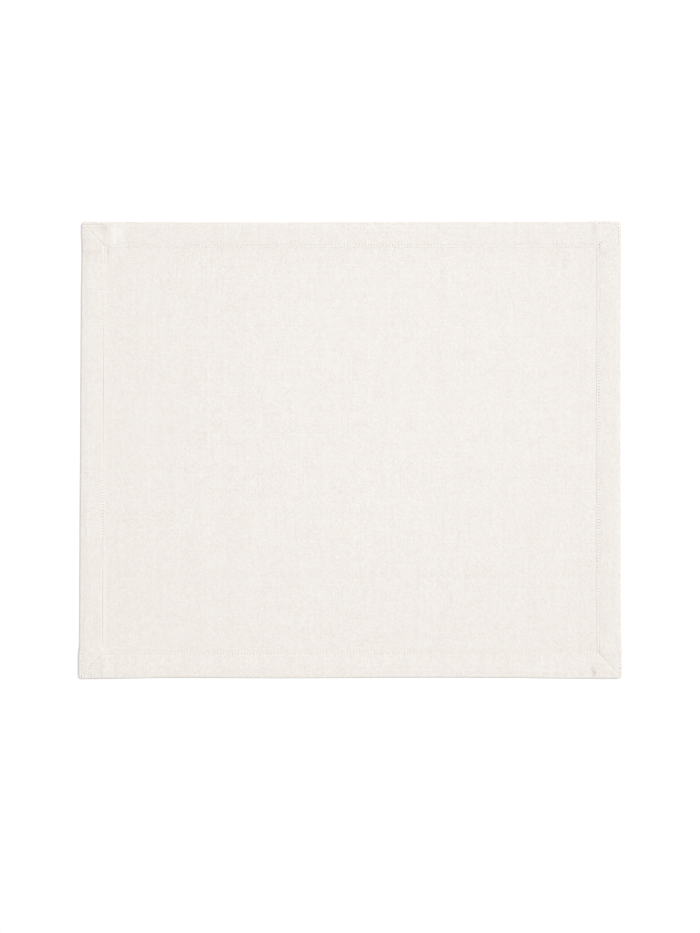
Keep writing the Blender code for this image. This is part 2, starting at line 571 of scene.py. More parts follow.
@dataclass(frozen=True)
class Mitre:
    """Sizes that the four mitres have in common.

    Args:
        half: half width of the seam.
        over: how far the seam's line runs on past the hem stitching.
        blend: width over which one side's settings pass into the next one's.
        shift_half: half width of the cloth that a slanting mitre takes with it.
        shift_over: how far past the hem stitching it takes it.
        shift_fade: width over which that ends.
        lap_edge: width of the step where one half lies over the other.
        lap_reach: how far from the seam the upper half stands raised.
        pale_offset: how far beside the seam its line of painted light lies.
        pale_half: half width of that line of painted light.
    """

    half: float = 0.00045
    over: float = 0.0003
    blend: float = 0.0020
    shift_half: float = 0.0060
    shift_over: float = 0.0010
    shift_fade: float = 0.0030
    lap_edge: float = 0.0004
    lap_reach: float = 0.0040
    pale_offset: float = 0.0008
    pale_half: float = 0.0004


@dataclass(frozen=True)
class MatForm:
    """The form in which the mat lies: its plan, its height and its needle holes.

    Args:
        width: finished size along X.
        depth: finished size along Y.
        fold: the hem's section.
        stitches_x: stitches along each long side's hem row.
        stitches_y: stitches along each short side's hem row.
        mitre_stitches: stitches along each mitre.
        edge_stitches: stitches along each short edge row in a corner.
        corner_radius: rounding of the mat's corners, seen from above.
        corner_square: size of the stacked layers at a corner.
        corner_swell: how much higher the stacked layers stand.
        swell_softness: width over which they fall to the hem.
        square_fade: width over which a corner's painted shade fades.
        ease_reach: how far in from the hem the sides' unevenness is felt.
        hem_rise: width over which the hem's own unevenness starts, inside its inner fold.
        edge_calm: width over which it stops, beside the outer fold's rounding.
        foot_offset: how far inside the inner fold its shade lies.
        foot_half: half width of that shade.
        row_half: half width of the painted light beside the hem stitching.
        painted_edge_light: painted light on the cloth beside the edge rows, how much paler it is painted.
        edge_groove: depth of the edge rows' grooves.
        edge_half: half width of the edge rows' grooves.
        edge_opening: how wide the edge rows' needle holes stand open.
        needle_dip: how deep the cloth dips at a needle hole.
        underside_groove: depth of the stitch grooves in the underside.
        underside_half: half width of the hem stitching's groove there.
        mitre: sizes of the mitres.
    """

    width: float = 0.450
    depth: float = 0.380
    fold: Fold = field(default_factory=Fold)
    stitches_x: int = 164
    stitches_y: int = 136
    mitre_stitches: int = 9
    edge_stitches: int = 6
    corner_radius: float = 0.0028
    corner_square: float = 0.0225
    corner_swell: float = 0.0004
    swell_softness: float = 0.0070
    square_fade: float = 0.0030
    ease_reach: float = 0.0800
    hem_rise: float = 0.0040
    edge_calm: float = 0.0020
    foot_offset: float = 0.0002
    foot_half: float = 0.0004
    row_half: float = 0.0005
    painted_edge_light: float = 0.04
    edge_groove: float = 0.00008
    edge_half: float = 0.0006
    edge_opening: float = 0.90
    needle_dip: float = 0.00012
    underside_groove: float = 0.00042
    underside_half: float = 0.0008
    mitre: Mitre = field(default_factory=Mitre)

    @property
    def half_width(self) -> float:
        """Half of the finished size along X."""
        return self.width / 2

    @property
    def half_depth(self) -> float:
        """Half of the finished size along Y."""
        return self.depth / 2

    def insets(self, x: Array, y: Array) -> tuple[Array, Array]:
        """Distances in from the nearer short side and the nearer long side."""
        return self.half_width - np.abs(x), self.half_depth - np.abs(y)

    def plan(self, x: Array, y: Array) -> tuple[Array, Array]:
        """Move points of the straight mat to where the sewn one really has them.

        Args:
            x: places along X on the straight mat.
            y: places along Y on the straight mat.

        Returns:
            The places on the real mat, along X and along Y.
        """
        x, y = self._rounded(x, y)
        right = self._pull(RIGHT, y, self.half_width - x)
        left = self._pull(LEFT, y, self.half_width + x)
        top = self._pull(TOP, x, self.half_depth - y)
        bottom = self._pull(BOTTOM, x, self.half_depth + y)
        shift = self._mitre_shift(x, y) / math.sqrt(2)
        return x + right - left + shift * np.sign(x), y + top - bottom - shift * np.sign(y)

    def _mitre_shift(self, x: Array, y: Array) -> Array:
        """Say how far the cloth around a mitre lies towards the short side.

        Args:
            x: places along X on the straight mat.
            y: places along Y on the straight mat.

        Returns:
            Distances, which grow from the outer corner inwards.
        """
        in_x, in_y = self.insets(x, y)
        inner = np.maximum(in_x, in_y)
        grown = smooth_step(np.minimum(in_x, in_y) / self.fold.stitch_inset)
        end = self.fold.stitch_inset + self.mitre.shift_over
        inside = smooth_step((end - inner) / self.mitre.shift_fade)
        near = bell((in_x - in_y) / self.mitre.shift_half) * grown * inside
        return sum(corner.shift * near * corner.holds(x, y) for corner in CORNERS)

    def _pull(self, side: SideLine, along: Array, inset: Array) -> Array:
        """Say how far outwards a side draws the cloth.

        Args:
            side: the side.
            along: places along it.
            inset: distances in from it.

        Returns:
            Distances outwards.
        """
        fade = 1.0 - smooth_step((inset - self.fold.stitch_inset) / self.ease_reach)
        hem_share = smooth_step(inset / self.fold.stitch_inset)
        follow = 1.0 - (1.0 - side.row_share) * hem_share
        return fade * (side.out_at(along) * follow + side.hem_out * hem_share)

    def _rounded(self, x: Array, y: Array) -> tuple[Array, Array]:
        """Draw points near the outer corners in, onto the corners' radius.

        Args:
            x: places along X on the straight mat.
            y: places along Y on the straight mat.

        Returns:
            The new places, along X and along Y.
        """
        over_x = np.abs(x) - (self.half_width - self.corner_radius)
        over_y = np.abs(y) - (self.half_depth - self.corner_radius)
        near = (over_x > 0) & (over_y > 0)
        reach = np.hypot(over_x, over_y)
        shrink = np.where(near, np.maximum(over_x, over_y) / np.maximum(reach, TINY), 1.0)
        new_x = np.abs(x) - np.where(near, over_x * (1.0 - shrink), 0.0)
        new_y = np.abs(y) - np.where(near, over_y * (1.0 - shrink), 0.0)
        return np.sign(x) * new_x, np.sign(y) * new_y

    def seam_rows(self) -> list[SeamRow]:
        """List every row of stitches.

        Returns:
            Four rows along the hem, and then three for each corner.
        """
        half_x = self.half_width - self.fold.stitch_inset
        half_y = self.half_depth - self.fold.stitch_inset
        run_x = np.linspace(-half_x, half_x, self.stitches_x + 1)
        run_y = np.linspace(-half_y, half_y, self.stitches_y + 1)
        rows = []
        for sign, short, long in ((-1.0, LEFT, BOTTOM), (1.0, RIGHT, TOP)):
            level, upright = np.full_like(run_x, sign * half_y), np.full_like(run_y, sign * half_x)
            rows.append(SeamRow(np.stack([run_x, level], axis=1), long.opening))
            rows.append(SeamRow(np.stack([upright, run_y], axis=1), short.opening))
        for corner in CORNERS:
            rows += self._corner_rows(corner)
        return rows

    def _corner_rows(self, corner: Corner) -> list[SeamRow]:
        """List the rows of stitches of one corner.

        Args:
            corner: the corner.

        Returns:
            The mitre's row, the long side's edge row and the short side's.
        """
        sign_x, sign_y = corner.side_x, corner.side_y
        inset = np.linspace(self.fold.stitch_inset, self.fold.edge_inset, self.mitre_stitches + 1)
        x, y = sign_x * (self.half_width - inset), sign_y * (self.half_depth - inset)
        edge_x = self.half_width - self.fold.edge_inset
        edge_y = self.half_depth - self.fold.edge_inset
        steps = np.arange(self.edge_stitches + 1)
        along_x = sign_x * edge_x * (1.0 - 2.0 * steps / self.stitches_x)
        along_y = sign_y * edge_y * (1.0 - 2.0 * steps / self.stitches_y)
        level, upright = np.full(len(steps), sign_y * edge_y), np.full(len(steps), sign_x * edge_x)
        return [
            SeamRow(np.stack([x, y], axis=1), corner.opening, corner.sunk),
            SeamRow(np.stack([along_x, level], axis=1), self.edge_opening),
            SeamRow(np.stack([upright, along_y], axis=1), self.edge_opening),
        ]

    def by_side(self, x: Array, y: Array, setting: str) -> Array:
        """Read a setting of the nearest side, blended across the mitres.

        Args:
            x: places along X on the straight mat.
            y: places along Y on the straight mat.
            setting: the setting's name.

        Returns:
            Its values there.
        """
        in_x, in_y = self.insets(x, y)
        short = np.where(x > 0, getattr(RIGHT, setting), getattr(LEFT, setting))
        long = np.where(y > 0, getattr(TOP, setting), getattr(BOTTOM, setting))
        share = smooth_step((in_y - in_x) / self.mitre.blend + 0.5)
        return long + (short - long) * share

    def tone(self, x: Array, y: Array) -> Array:
        """Say how much painted shade darkens and warms the upper skin, and how much painted light makes it
        paler.

        Args:
            x: places along X on the straight mat.
            y: places along Y on the straight mat.

        Returns:
            Shares of the cloth's brightness, below 0 where painted light makes it paler.
        """
        in_x, in_y = self.insets(x, y)
        outer = np.minimum(in_x, in_y)
        # Painted shade at the foot of the inner fold
        foot = bell((outer - self.fold.depth - self.foot_offset) / self.foot_half)
        tone = foot * self.by_side(x, y, "painted_crevice_shade")
        # Painted shade and painted light of the fine creases
        for crease in FINE_CREASES:
            tone = tone + crease.tone * crease.strength(x, y)
        tone = tone + self._corner_tone(x, y)
        # Painted light beside the hem stitching and beside the edge rows
        row = bell((outer - self.fold.stitch_inset) / self.row_half) * self.by_side(x, y, "painted_row_light")
        return tone - np.maximum(row, self.painted_edge_light * self.seams(x, y)[1])

    def _corner_tone(self, x: Array, y: Array) -> Array:
        """Say how much painted shade and painted light the corners' halves and mitres carry.

        Args:
            x: places along X on the straight mat.
            y: places along Y on the straight mat.

        Returns:
            Shares of the cloth's brightness.
        """
        in_x, in_y = self.insets(x, y)
        inner = np.maximum(in_x, in_y)
        square = smooth_step((self.fold.depth - inner) / self.square_fade)
        across = (in_x - in_y) / math.sqrt(2)
        in_corner = inner < self.fold.stitch_inset + self.mitre.over
        beside = bell((across + self.mitre.pale_offset) / self.mitre.pale_half) * in_corner
        seam = bell(across / self.mitre.half) * in_corner
        tone = np.zeros_like(x)
        for corner in CORNERS:
            # Painted shade and painted light on each half and on the mitre's line, and painted light beside
            # the mitre
            dark = np.where(in_x < in_y, corner.short_painted_shade, corner.long_painted_shade) * square
            dark = dark + corner.seam_painted_shade * seam - corner.pale * beside
            tone = tone + dark * corner.holds(x, y)
        return tone

    def corner_share(self, x: Array, y: Array) -> Array:
        """Say how far points belong to a corner's square of stacked layers.

        Args:
            x: places along X on the straight mat.
            y: places along Y on the straight mat.

        Returns:
            1 inside a square, falling softly to 0 outside it.
        """
        in_x, in_y = self.insets(x, y)
        share_x = 1.0 - smooth_step((in_x - self.corner_square) / self.swell_softness)
        share_y = 1.0 - smooth_step((in_y - self.corner_square) / self.swell_softness)
        return share_x * share_y

    def seams(self, x: Array, y: Array) -> tuple[Array, Array]:
        """Say how near points lie to the stitching inside the corners.

        Args:
            x: places along X on the straight mat.
            y: places along Y on the straight mat.

        Returns:
            Nearness to a mitre and to an edge row, each from 0 to 1.
        """
        in_x, in_y = self.insets(x, y)
        inner, outer = np.maximum(in_x, in_y), np.minimum(in_x, in_y)
        reach = self.fold.stitch_inset + self.mitre.half
        in_corner = 1.0 - smooth_step((inner - reach) / self.mitre.half)
        mitre = bell((in_x - in_y) / math.sqrt(2) / self.mitre.half)
        edge = bell((outer - self.fold.edge_inset) / self.edge_half)
        return mitre * in_corner, edge * in_corner

    def corner_seam_height(self, x: Array, y: Array) -> Array:
        """Add up the corners' laps, mitre grooves and edge rows' grooves.

        Args:
            x: places along X on the straight mat.
            y: places along Y on the straight mat.

        Returns:
            Heights to add to the upper skin.
        """
        in_x, in_y = self.insets(x, y)
        across = (in_x - in_y) / math.sqrt(2)
        in_corner = np.maximum(in_x, in_y) < self.fold.depth
        step = np.tanh(across / self.mitre.lap_edge) * bell(across / self.mitre.lap_reach) * in_corner
        mitre, edge = self.seams(x, y)
        height = -self.edge_groove * edge
        for corner in CORNERS:
            height = height + (corner.lap * step - corner.groove * mitre) * corner.holds(x, y)
        return height

    def top_height(self, x: Array, y: Array) -> Array:
        """Height of the upper skin at points of the straight mat.

        Args:
            x: places along X.
            y: places along Y.

        Returns:
            Heights above the table.
        """
        in_x, in_y = self.insets(x, y)
        outer = np.minimum(in_x, in_y)
        lip = self.by_side(x, y, "lip")
        height = self.fold.top(outer, lip, self.by_side(x, y, "lip_slope"))
        above = smooth_step((self.fold.depth - outer) / self.hem_rise)
        height = height + self.corner_swell * self.corner_share(x, y) * above
        for crease in HEM_CREASES:
            height = height + crease.height(x, y) * above
        for crease in FINE_CREASES:
            height = height + crease.height(x, y)
        height = height + self.corner_seam_height(x, y) * above
        fill = smooth_step((outer - self.fold.roll) / self.edge_calm)
        height = height + HEM_WAVES.height(x, y) * above * fill
        height = height + PANEL_WAVES.height(x, y) * fill
        return height + self.lift(x, y)

    def under_height(self, x: Array, y: Array) -> Array:
        """Height of the lower skin, flat on the table but for its stitch grooves.

        Args:
            x: places along X on the straight mat.
            y: places along Y on the straight mat.

        Returns:
            Heights above the table.
        """
        in_x, in_y = self.insets(x, y)
        outer = np.minimum(in_x, in_y)
        row = bell((outer - self.fold.stitch_inset) / self.underside_half)
        deepest = np.maximum(row, np.maximum(*self.seams(x, y)))
        return self.underside_groove * deepest + self.lift(x, y)

    def lift(self, x: Array, y: Array) -> Array:
        """Say how far the corners' edges stand off the table.

        Args:
            x: places along X on the straight mat.
            y: places along Y on the straight mat.

        Returns:
            Heights to add to both skins.
        """
        raised = np.zeros_like(x)
        for corner in CORNER_LIFTS:
            raised = raised + corner.height(x, y)
        return raised

    def point(self, x: Array, y: Array, skin: Skin) -> Array:
        """Find points of one skin.

        Args:
            x: places along X on the straight mat.
            y: places along Y on the straight mat.
            skin: the skin that they lie on.

        Returns:
            The points on the real mat, as rows of three coordinates.
        """
        height = self.top_height(x, y) if skin is Skin.TOP else self.under_height(x, y)
        plan_x, plan_y = self.plan(x, y)
        return np.stack([plan_x, plan_y, height], axis=1)


# Unevenness that is too gentle to place by hand
PANEL_WAVES = Undulation(seed=7, length=0.042, rise=0.00004)
HEM_WAVES = Undulation(seed=11, length=0.015, rise=0.00004)

# Corners whose edges stand a little off the table
CORNER_LIFTS = (
    # Bottom left corner
    Crease(-0.2250, -0.1900, 45.0, 0.0200, 0.0300, 0.00010),
    # Top left corner
    Crease(-0.2250, 0.1900, -45.0, 0.0180, 0.0260, 0.00010),
)


@dataclass
class ShaderSketch:
    """A short hand for laying nodes into a material's tree.

    Args:
        material: the material that the nodes are for.
        roughness: how strong the finer layers of its noises are.
    """

    material: bpy.types.Material
    roughness: float = 0.65

    def __post_init__(self) -> None:
        """Turn the material's nodes on."""
        self.material.use_nodes = True
        self.tree = self.material.node_tree
        self.shader = self.tree.nodes["Principled BSDF"]

    def node(self, kind: str, **settings: object) -> bpy.types.Node:
        """Add a node.

        Args:
            kind: the node's type.
            **settings: its properties, by name.

        Returns:
            The new node.
        """
        made = self.tree.nodes.new(kind)
        for name, value in settings.items():
            setattr(made, name, value)
        return made

    def wire(self, source: object, socket: bpy.types.NodeSocket) -> None:
        """Link an output to a socket, or set the socket to a fixed value.

        Args:
            source: an output, a number or a colour.
            socket: the input that takes it.
        """
        if isinstance(source, bpy.types.NodeSocket):
            self.tree.links.new(source, socket)
        else:
            socket.default_value = source

    def wire_all(self, sources: tuple[object, ...], sockets: list[bpy.types.NodeSocket]) -> None:
        """Link or set several sockets, in order."""
        for source, socket in zip(sources, sockets):
            self.wire(source, socket)

    def math(self, operation: str, *values: object) -> bpy.types.NodeSocket:
        """Work out one sum, product or other operation on numbers.

        Args:
            operation: the operation's name.
            *values: outputs or numbers that it is worked out from.

        Returns:
            The result.
        """
        made = self.node("ShaderNodeMath", operation=operation)
        self.wire_all(values, made.inputs)
        return made.outputs[0]

    def total(self, *values: object) -> bpy.types.NodeSocket:
        """Add several values up.

        Args:
            *values: outputs or numbers.

        Returns:
            Their sum.
        """
        result = values[0]
        for value in values[1:]:
            result = self.math("ADD", result, value)
        return result

    def times(self, value: object, factor: object) -> bpy.types.NodeSocket:
        """The product of two values."""
        return self.math("MULTIPLY", value, factor)

    def arch(self, value: object) -> bpy.types.NodeSocket:
        """A round arch over each whole step of a value: 0 at its ends and 1 in its middle."""
        return self.math("SINE", self.times(self.math("FRACT", value), math.pi))

    def vector(self, operation: str, *values: object) -> bpy.types.NodeSocket:
        """Work out one operation on vectors.

        Args:
            operation: the operation's name.
            *values: outputs or vectors that it is worked out from.

        Returns:
            The result.
        """
        made = self.node("ShaderNodeVectorMath", operation=operation)
        self.wire_all(values, made.inputs)
        return made.outputs[0]

    def along(self, direction: tuple[float, float, float], value: object) -> bpy.types.NodeSocket:
        """Scale a fixed vector.

        Args:
            direction: the vector.
            value: an output or a number to scale it by.

        Returns:
            The scaled vector.
        """
        made = self.node("ShaderNodeVectorMath", operation="SCALE")
        made.inputs[0].default_value = direction
        self.wire(value, made.inputs["Scale"])
        return made.outputs[0]

    def point(self, x: object, y: object, z: object = 0.0) -> bpy.types.NodeSocket:
        """Join three values into a vector.

        Args:
            x: its first value.
            y: its second value.
            z: its third value.

        Returns:
            The vector.
        """
        made = self.node("ShaderNodeCombineXYZ")
        self.wire_all((x, y, z), made.inputs)
        return made.outputs[0]

    def noise(self, x: object, y: object, shift: float, detail: float = 1.0) -> bpy.types.NodeSocket:
        """Read a soft noise, of about one swing to a unit of x or y.

        Args:
            x: where it is read, along its first direction.
            y: where it is read, along its second direction.
            shift: a number that gives each noise its own pattern.
            detail: number of its finer layers.

        Returns:
            Values around 0.
        """
        made = self.node("ShaderNodeTexNoise", noise_dimensions="3D")
        self.wire(self.point(x, y, shift), made.inputs["Vector"])
        made.inputs["Scale"].default_value = 1.0
        made.inputs["Detail"].default_value = detail
        made.inputs["Roughness"].default_value = self.roughness
        return self.math("SUBTRACT", made.outputs[0], NOISE_MEAN)

    def chance(self, x: object, y: object) -> bpy.types.NodeSocket:
        """Draw an even random number for each pair of whole numbers.

        Args:
            x: the first number.
            y: the second number.

        Returns:
            Values around 0, half of one each way.
        """
        made = self.node("ShaderNodeTexWhiteNoise", noise_dimensions="2D")
        self.wire(self.point(x, y), made.inputs["Vector"])
        return self.math("SUBTRACT", made.outputs["Value"], NOISE_MEAN)

    def between(self, low: object, high: object, share: object) -> bpy.types.NodeSocket:
        """Find a value between two others.

        Args:
            low: the value for a share of 0.
            high: the value for a share of 1.
            share: how far it lies from the low one to the high one.

        Returns:
            The value.
        """
        made = self.node("ShaderNodeMix", data_type="FLOAT")
        self.wire_all((share, low, high), [made.inputs[number] for number in NUMBER_SOCKETS])
        return made.outputs[NUMBER_RESULT]

    def tint(self, low: object, high: object, share: object) -> bpy.types.NodeSocket:
        """Find a colour between two others.

        Args:
            low: the colour for a share of 0.
            high: the colour for a share of 1.
            share: how far it lies from the low one to the high one.

        Returns:
            The colour.
        """
        made = self.node("ShaderNodeMix", data_type="RGBA")
        self.wire_all((share, low, high), [made.inputs[number] for number in COLOUR_SOCKETS])
        return made.outputs[COLOUR_RESULT]


@dataclass(frozen=True)
class Weave:
    """Outputs that say where a point of the cloth lies in its plain weave.

    Args:
        u: its place along X on the flat cloth.
        v: its place along Y on the flat cloth.
        warp: warp yarns up to it, with the share of the one that it lies on.
        weft: weft yarns up to it, with the share of the one that it lies on.
        warp_yarn: number of its warp yarn.
        weft_yarn: number of its weft yarn.
        over: 1 where the weft passes over the warp, 0 where it passes under.
    """

    u: bpy.types.NodeSocket
    v: bpy.types.NodeSocket
    warp: bpy.types.NodeSocket
    weft: bpy.types.NodeSocket
    warp_yarn: bpy.types.NodeSocket
    weft_yarn: bpy.types.NodeSocket
    over: bpy.types.NodeSocket


@dataclass(frozen=True)
class Drift:
    """Soft noise laid over the flat cloth, as streaks or as clouds.

    Args:
        strength: how far it moves a tone or a hue.
        per_u: its swings to a metre along X.
        per_v: its swings to a metre along Y.
        shift: a number that gives each noise its own pattern.
        detail: number of its finer layers.
    """

    strength: float
    per_u: float
    per_v: float
    shift: float
    detail: float = 1.0

    def lay(self, sketch: ShaderSketch, weave: Weave) -> bpy.types.NodeSocket:
        """Lay the nodes of the noise, and return what it adds."""
        u, v = sketch.times(weave.u, self.per_u), sketch.times(weave.v, self.per_v)
        return sketch.times(sketch.noise(u, v, self.shift, self.detail), self.strength)


@dataclass(frozen=True)
class Strokes:
    """Short slanting strokes in files that lie side by side, a few of them strong.

    Args:
        strength: how far the strongest move the tone.
        slant_cos: cosine of the files' slant.
        slant_sin: sine of the files' slant.
        per_across: files to a metre.
        per_down: strokes to a metre of a file.
        stagger: how far files are moved against each other, in strokes.
        rarity: how much rarer strong strokes are than weak ones, 1 for as many.
        column: a number that gives the files their own pattern.
    """

    strength: float = 0.075
    slant_cos: float = 0.77
    slant_sin: float = 0.64
    per_across: float = 1500.0
    per_down: float = 480.0
    stagger: float = 9.0
    rarity: float = 3.0
    column: float = 4.0

    def lay(self, sketch: ShaderSketch, weave: Weave) -> bpy.types.NodeSocket:
        """Lay the nodes of the strokes.

        Args:
            sketch: the material's nodes.
            weave: the places on the flat cloth.

        Returns:
            What the strokes add: below 0 for dark ones and above it for pale ones.
        """
        u, v = weave.u, weave.v
        across = sketch.math("MULTIPLY_ADD", u, self.slant_cos, sketch.times(v, self.slant_sin))
        down = sketch.math("MULTIPLY_ADD", u, -self.slant_sin, sketch.times(v, self.slant_cos))
        file = sketch.times(across, self.per_across)
        column = sketch.math("FLOOR", file)
        moved = sketch.times(sketch.chance(column, self.column), self.stagger)
        run = sketch.math("MULTIPLY_ADD", down, self.per_down, moved)
        drawn = sketch.math("POWER", sketch.chance(column, sketch.math("FLOOR", run)), self.rarity)
        full = sketch.times(drawn, NOISE_MEAN**-self.rarity)
        shape = sketch.math("SQRT", sketch.times(sketch.arch(file), sketch.arch(run)))
        return sketch.times(sketch.times(full, shape), self.strength)


@dataclass(frozen=True)
class YarnRun:
    """How yarns wander, swell and change along their length. Swings are to a metre.

    Args:
        wander: how far whole groups of yarns wander, in yarn widths.
        wander_across: swings of that across the yarns.
        wander_along: swings of that along them.
        swell: how far yarns swell and thin out, in yarn widths.
        swell_across: swings of that across the yarns.
        swell_along: swings of that along them.
        swell_shift: distance between the patterns of wandering and swelling.
        tone_step: distance between the patterns of neighbouring yarns.
        tone_along: swings of a yarn's tone along it.
        fibres: fibres side by side in a yarn.
        fibre_along: swings of a fibre's tone along it.
    """

    wander: float = 2.0
    wander_across: float = 40.0
    wander_along: float = 9.0
    swell: float = 1.2
    swell_across: float = 420.0
    swell_along: float = 170.0
    swell_shift: float = 30.0
    tone_step: float = 7.31
    tone_along: float = 900.0
    fibres: float = 5.0
    fibre_along: float = 800.0


@dataclass(frozen=True)
class Patterns:
    """Numbers that keep the weave's random patterns apart.

    Args:
        warp_place: pattern of the warp yarns' wandering.
        weft_place: pattern of the weft yarns' wandering.
        warp_yarn: draw of the warp yarns' tones.
        weft_yarn: draw of the weft yarns' tones.
        warp_tone: pattern of the tone along warp yarns.
        weft_tone: pattern of the tone along weft yarns.
        warp_fibre: pattern of the warp yarns' fibres.
        weft_fibre: pattern of the weft yarns' fibres.
        pink: yarns between a crossing and the one whose draw makes it pink.
        yellow: yarns between a crossing and the one whose draw makes it yellow.
    """

    warp_place: float = 0.0
    weft_place: float = 3.0
    warp_yarn: float = 3.0
    weft_yarn: float = 8.0
    warp_tone: float = 21.0
    weft_tone: float = 23.0
    warp_fibre: float = 25.0
    weft_fibre: float = 27.0
    pink: float = 77.0
    yellow: float = 55.0


@dataclass(frozen=True)
class LinenFinish:
    """Matt off-white linen in a plain weave, read from the cloth's own pattern map.

    Tones are shares of the cloth's brightness. A darker tone is also a warmer one.

    Args:
        colour: the cloth's mean colour.
        painted_hole_shade: painted shade seen down a needle hole, its colour.
        tone_tint: how far a tone moves red, green and blue.
        painted_shade_tint: how far the painted shade and painted light move them.
        pink_tint: how far a drift towards pink moves them.
        yellow_tint: how far a drift towards yellow moves them.
        warp_pitch: distance between yarns that run along Y.
        weft_pitch: distance between yarns that run along X.
        yarn_run: how yarns wander and swell.
        patterns: numbers of the random patterns.
        warp_tone: how far single warp yarns differ in tone.
        weft_tone: how far single weft yarns differ in tone.
        length_tone: how far a yarn's tone changes along its length.
        fibre_tone: how far the fibres side by side in a yarn differ in tone.
        crossing_tone: how far single crossings differ in tone.
        streaks: tone of the fine and wide streaks, and of the soft clouding.
        strokes: tone of the short slanting strokes.
        pinkness: drift of the fibres between pinker and greener.
        yellowness: drift of the fibres between bluer and yellower.
        pink_speck: how far single crossings differ between pinker and greener.
        yellow_speck: how far single crossings differ between bluer and yellower.
        yarn_round: power of the yarns' rounding, below 1 for fuller ones.
        yarn_bow: how deep a yarn dives under the next one, as a share of the relief.
        yarn_relief: height of the yarns' rounding.
        mean_relief: height in the weave that keeps the cloth's mean colour, from 0 to 1.
        yarn_gap_painted_shade: painted shade in the gaps between yarns, how much darker they are painted.
        hole_rim: needle_hole value from which the painted shade of a hole starts.
        hole_core: needle_hole value from which only the hole's painted shade shows.
        roughness: how matt the cloth is.
        shine: how strongly it mirrors light.
        sheen: how strongly its fibres catch light at the edges.
        sheen_roughness: how widely they do.
    """

    colour: tuple[float, float, float] = (0.8120, 0.7695, 0.7277)
    painted_hole_shade: tuple[float, float, float, float] = (0.35, 0.19, 0.05, 1.0)
    tone_tint: tuple[float, float, float] = (0.80, 1.0, 1.20)
    painted_shade_tint: tuple[float, float, float] = (0.76, 1.0, 1.26)
    pink_tint: tuple[float, float, float] = (0.5, -0.5, 0.0)
    yellow_tint: tuple[float, float, float] = (0.1, 0.1, -0.9)
    warp_pitch: float = 0.00062
    weft_pitch: float = 0.00066
    yarn_run: YarnRun = YarnRun()
    patterns: Patterns = Patterns()
    warp_tone: float = 0.034
    weft_tone: float = 0.026
    length_tone: float = 0.130
    fibre_tone: float = 0.160
    crossing_tone: float = 0.120
    streaks: tuple[Drift, ...] = (
        Drift(0.055, per_u=900.0, per_v=22.0, shift=1.0),
        Drift(0.018, per_u=130.0, per_v=7.0, shift=2.0, detail=2.0),
        Drift(0.026, per_u=40.0, per_v=800.0, shift=5.0),
        Drift(0.032, per_u=65.0, per_v=65.0, shift=9.0, detail=3.0),
    )
    strokes: Strokes = Strokes()
    pinkness: Drift = Drift(0.072, per_u=800.0, per_v=450.0, shift=11.0, detail=3.0)
    yellowness: Drift = Drift(0.120, per_u=700.0, per_v=420.0, shift=17.0, detail=4.0)
    pink_speck: float = 0.046
    yellow_speck: float = 0.055
    yarn_round: float = 0.7
    yarn_bow: float = 0.45
    yarn_relief: float = 0.00010
    mean_relief: float = 0.5
    yarn_gap_painted_shade: float = 0.20
    hole_rim: float = 0.57
    hole_core: float = 0.77
    roughness: float = 0.88
    shine: float = 0.2
    sheen: float = 0.06
    sheen_roughness: float = 0.5

    def make(self) -> bpy.types.Material:
        """Lay the nodes of the weave.

        Returns:
            The cloth's material.
        """
        material = bpy.data.materials.new("off_white_linen")
        sketch = ShaderSketch(material)
        weave = self._weave(sketch)
        relief = self._relief(sketch, weave)
        cloth = self._cloth_colour(sketch, weave, relief)
        # Painted shade seen down the needle holes
        seen = sketch.tint(cloth, self.painted_hole_shade, self._hole_share(sketch))
        sketch.wire(seen, sketch.shader.inputs["Base Color"])

        bump = sketch.node("ShaderNodeBump")
        bump.inputs["Strength"].default_value = 1.0
        bump.inputs["Distance"].default_value = self.yarn_relief
        sketch.wire(relief, bump.inputs["Height"])
        sketch.wire(bump.outputs[0], sketch.shader.inputs["Normal"])
        sketch.shader.inputs["Roughness"].default_value = self.roughness
        sketch.shader.inputs["Specular IOR Level"].default_value = self.shine
        sketch.shader.inputs["Sheen Weight"].default_value = self.sheen
        sketch.shader.inputs["Sheen Roughness"].default_value = self.sheen_roughness
        return material

    def _cloth_colour(self, sketch: ShaderSketch, weave: Weave, relief: object) -> bpy.types.NodeSocket:
        """Mix the cloth's colour from its tones, its hues and its painted shade and painted light.

        Args:
            sketch: the material's nodes.
            weave: the places in the weave.
            relief: height of the weave, from 0 to 1.

        Returns:
            The colour outside the needle holes.
        """
        tone = sketch.total(
            self._yarn_tone(sketch, weave),
            *(streak.lay(sketch, weave) for streak in self.streaks),
            self.strokes.lay(sketch, weave),
            # Painted shade in the gaps between yarns, darker where the weave lies lower
            sketch.times(sketch.math("SUBTRACT", relief, self.mean_relief), self.yarn_gap_painted_shade),
        )
        # Painted shade and painted light from the mesh, a darker tone also a warmer one
        painted_shade_and_light = sketch.node("ShaderNodeAttribute", attribute_name="painted_shade_and_light").outputs["Fac"]
        colour = sketch.vector("ADD", sketch.along(self.tone_tint, tone), (1.0, 1.0, 1.0))
        colour = sketch.vector("SUBTRACT", colour, sketch.along(self.painted_shade_tint, painted_shade_and_light))
        colour = sketch.vector("ADD", colour, sketch.along(self.pink_tint, self._pink(sketch, weave)))
        colour = sketch.vector("ADD", colour, sketch.along(self.yellow_tint, self._yellow(sketch, weave)))
        return sketch.vector("MULTIPLY", colour, self.colour)

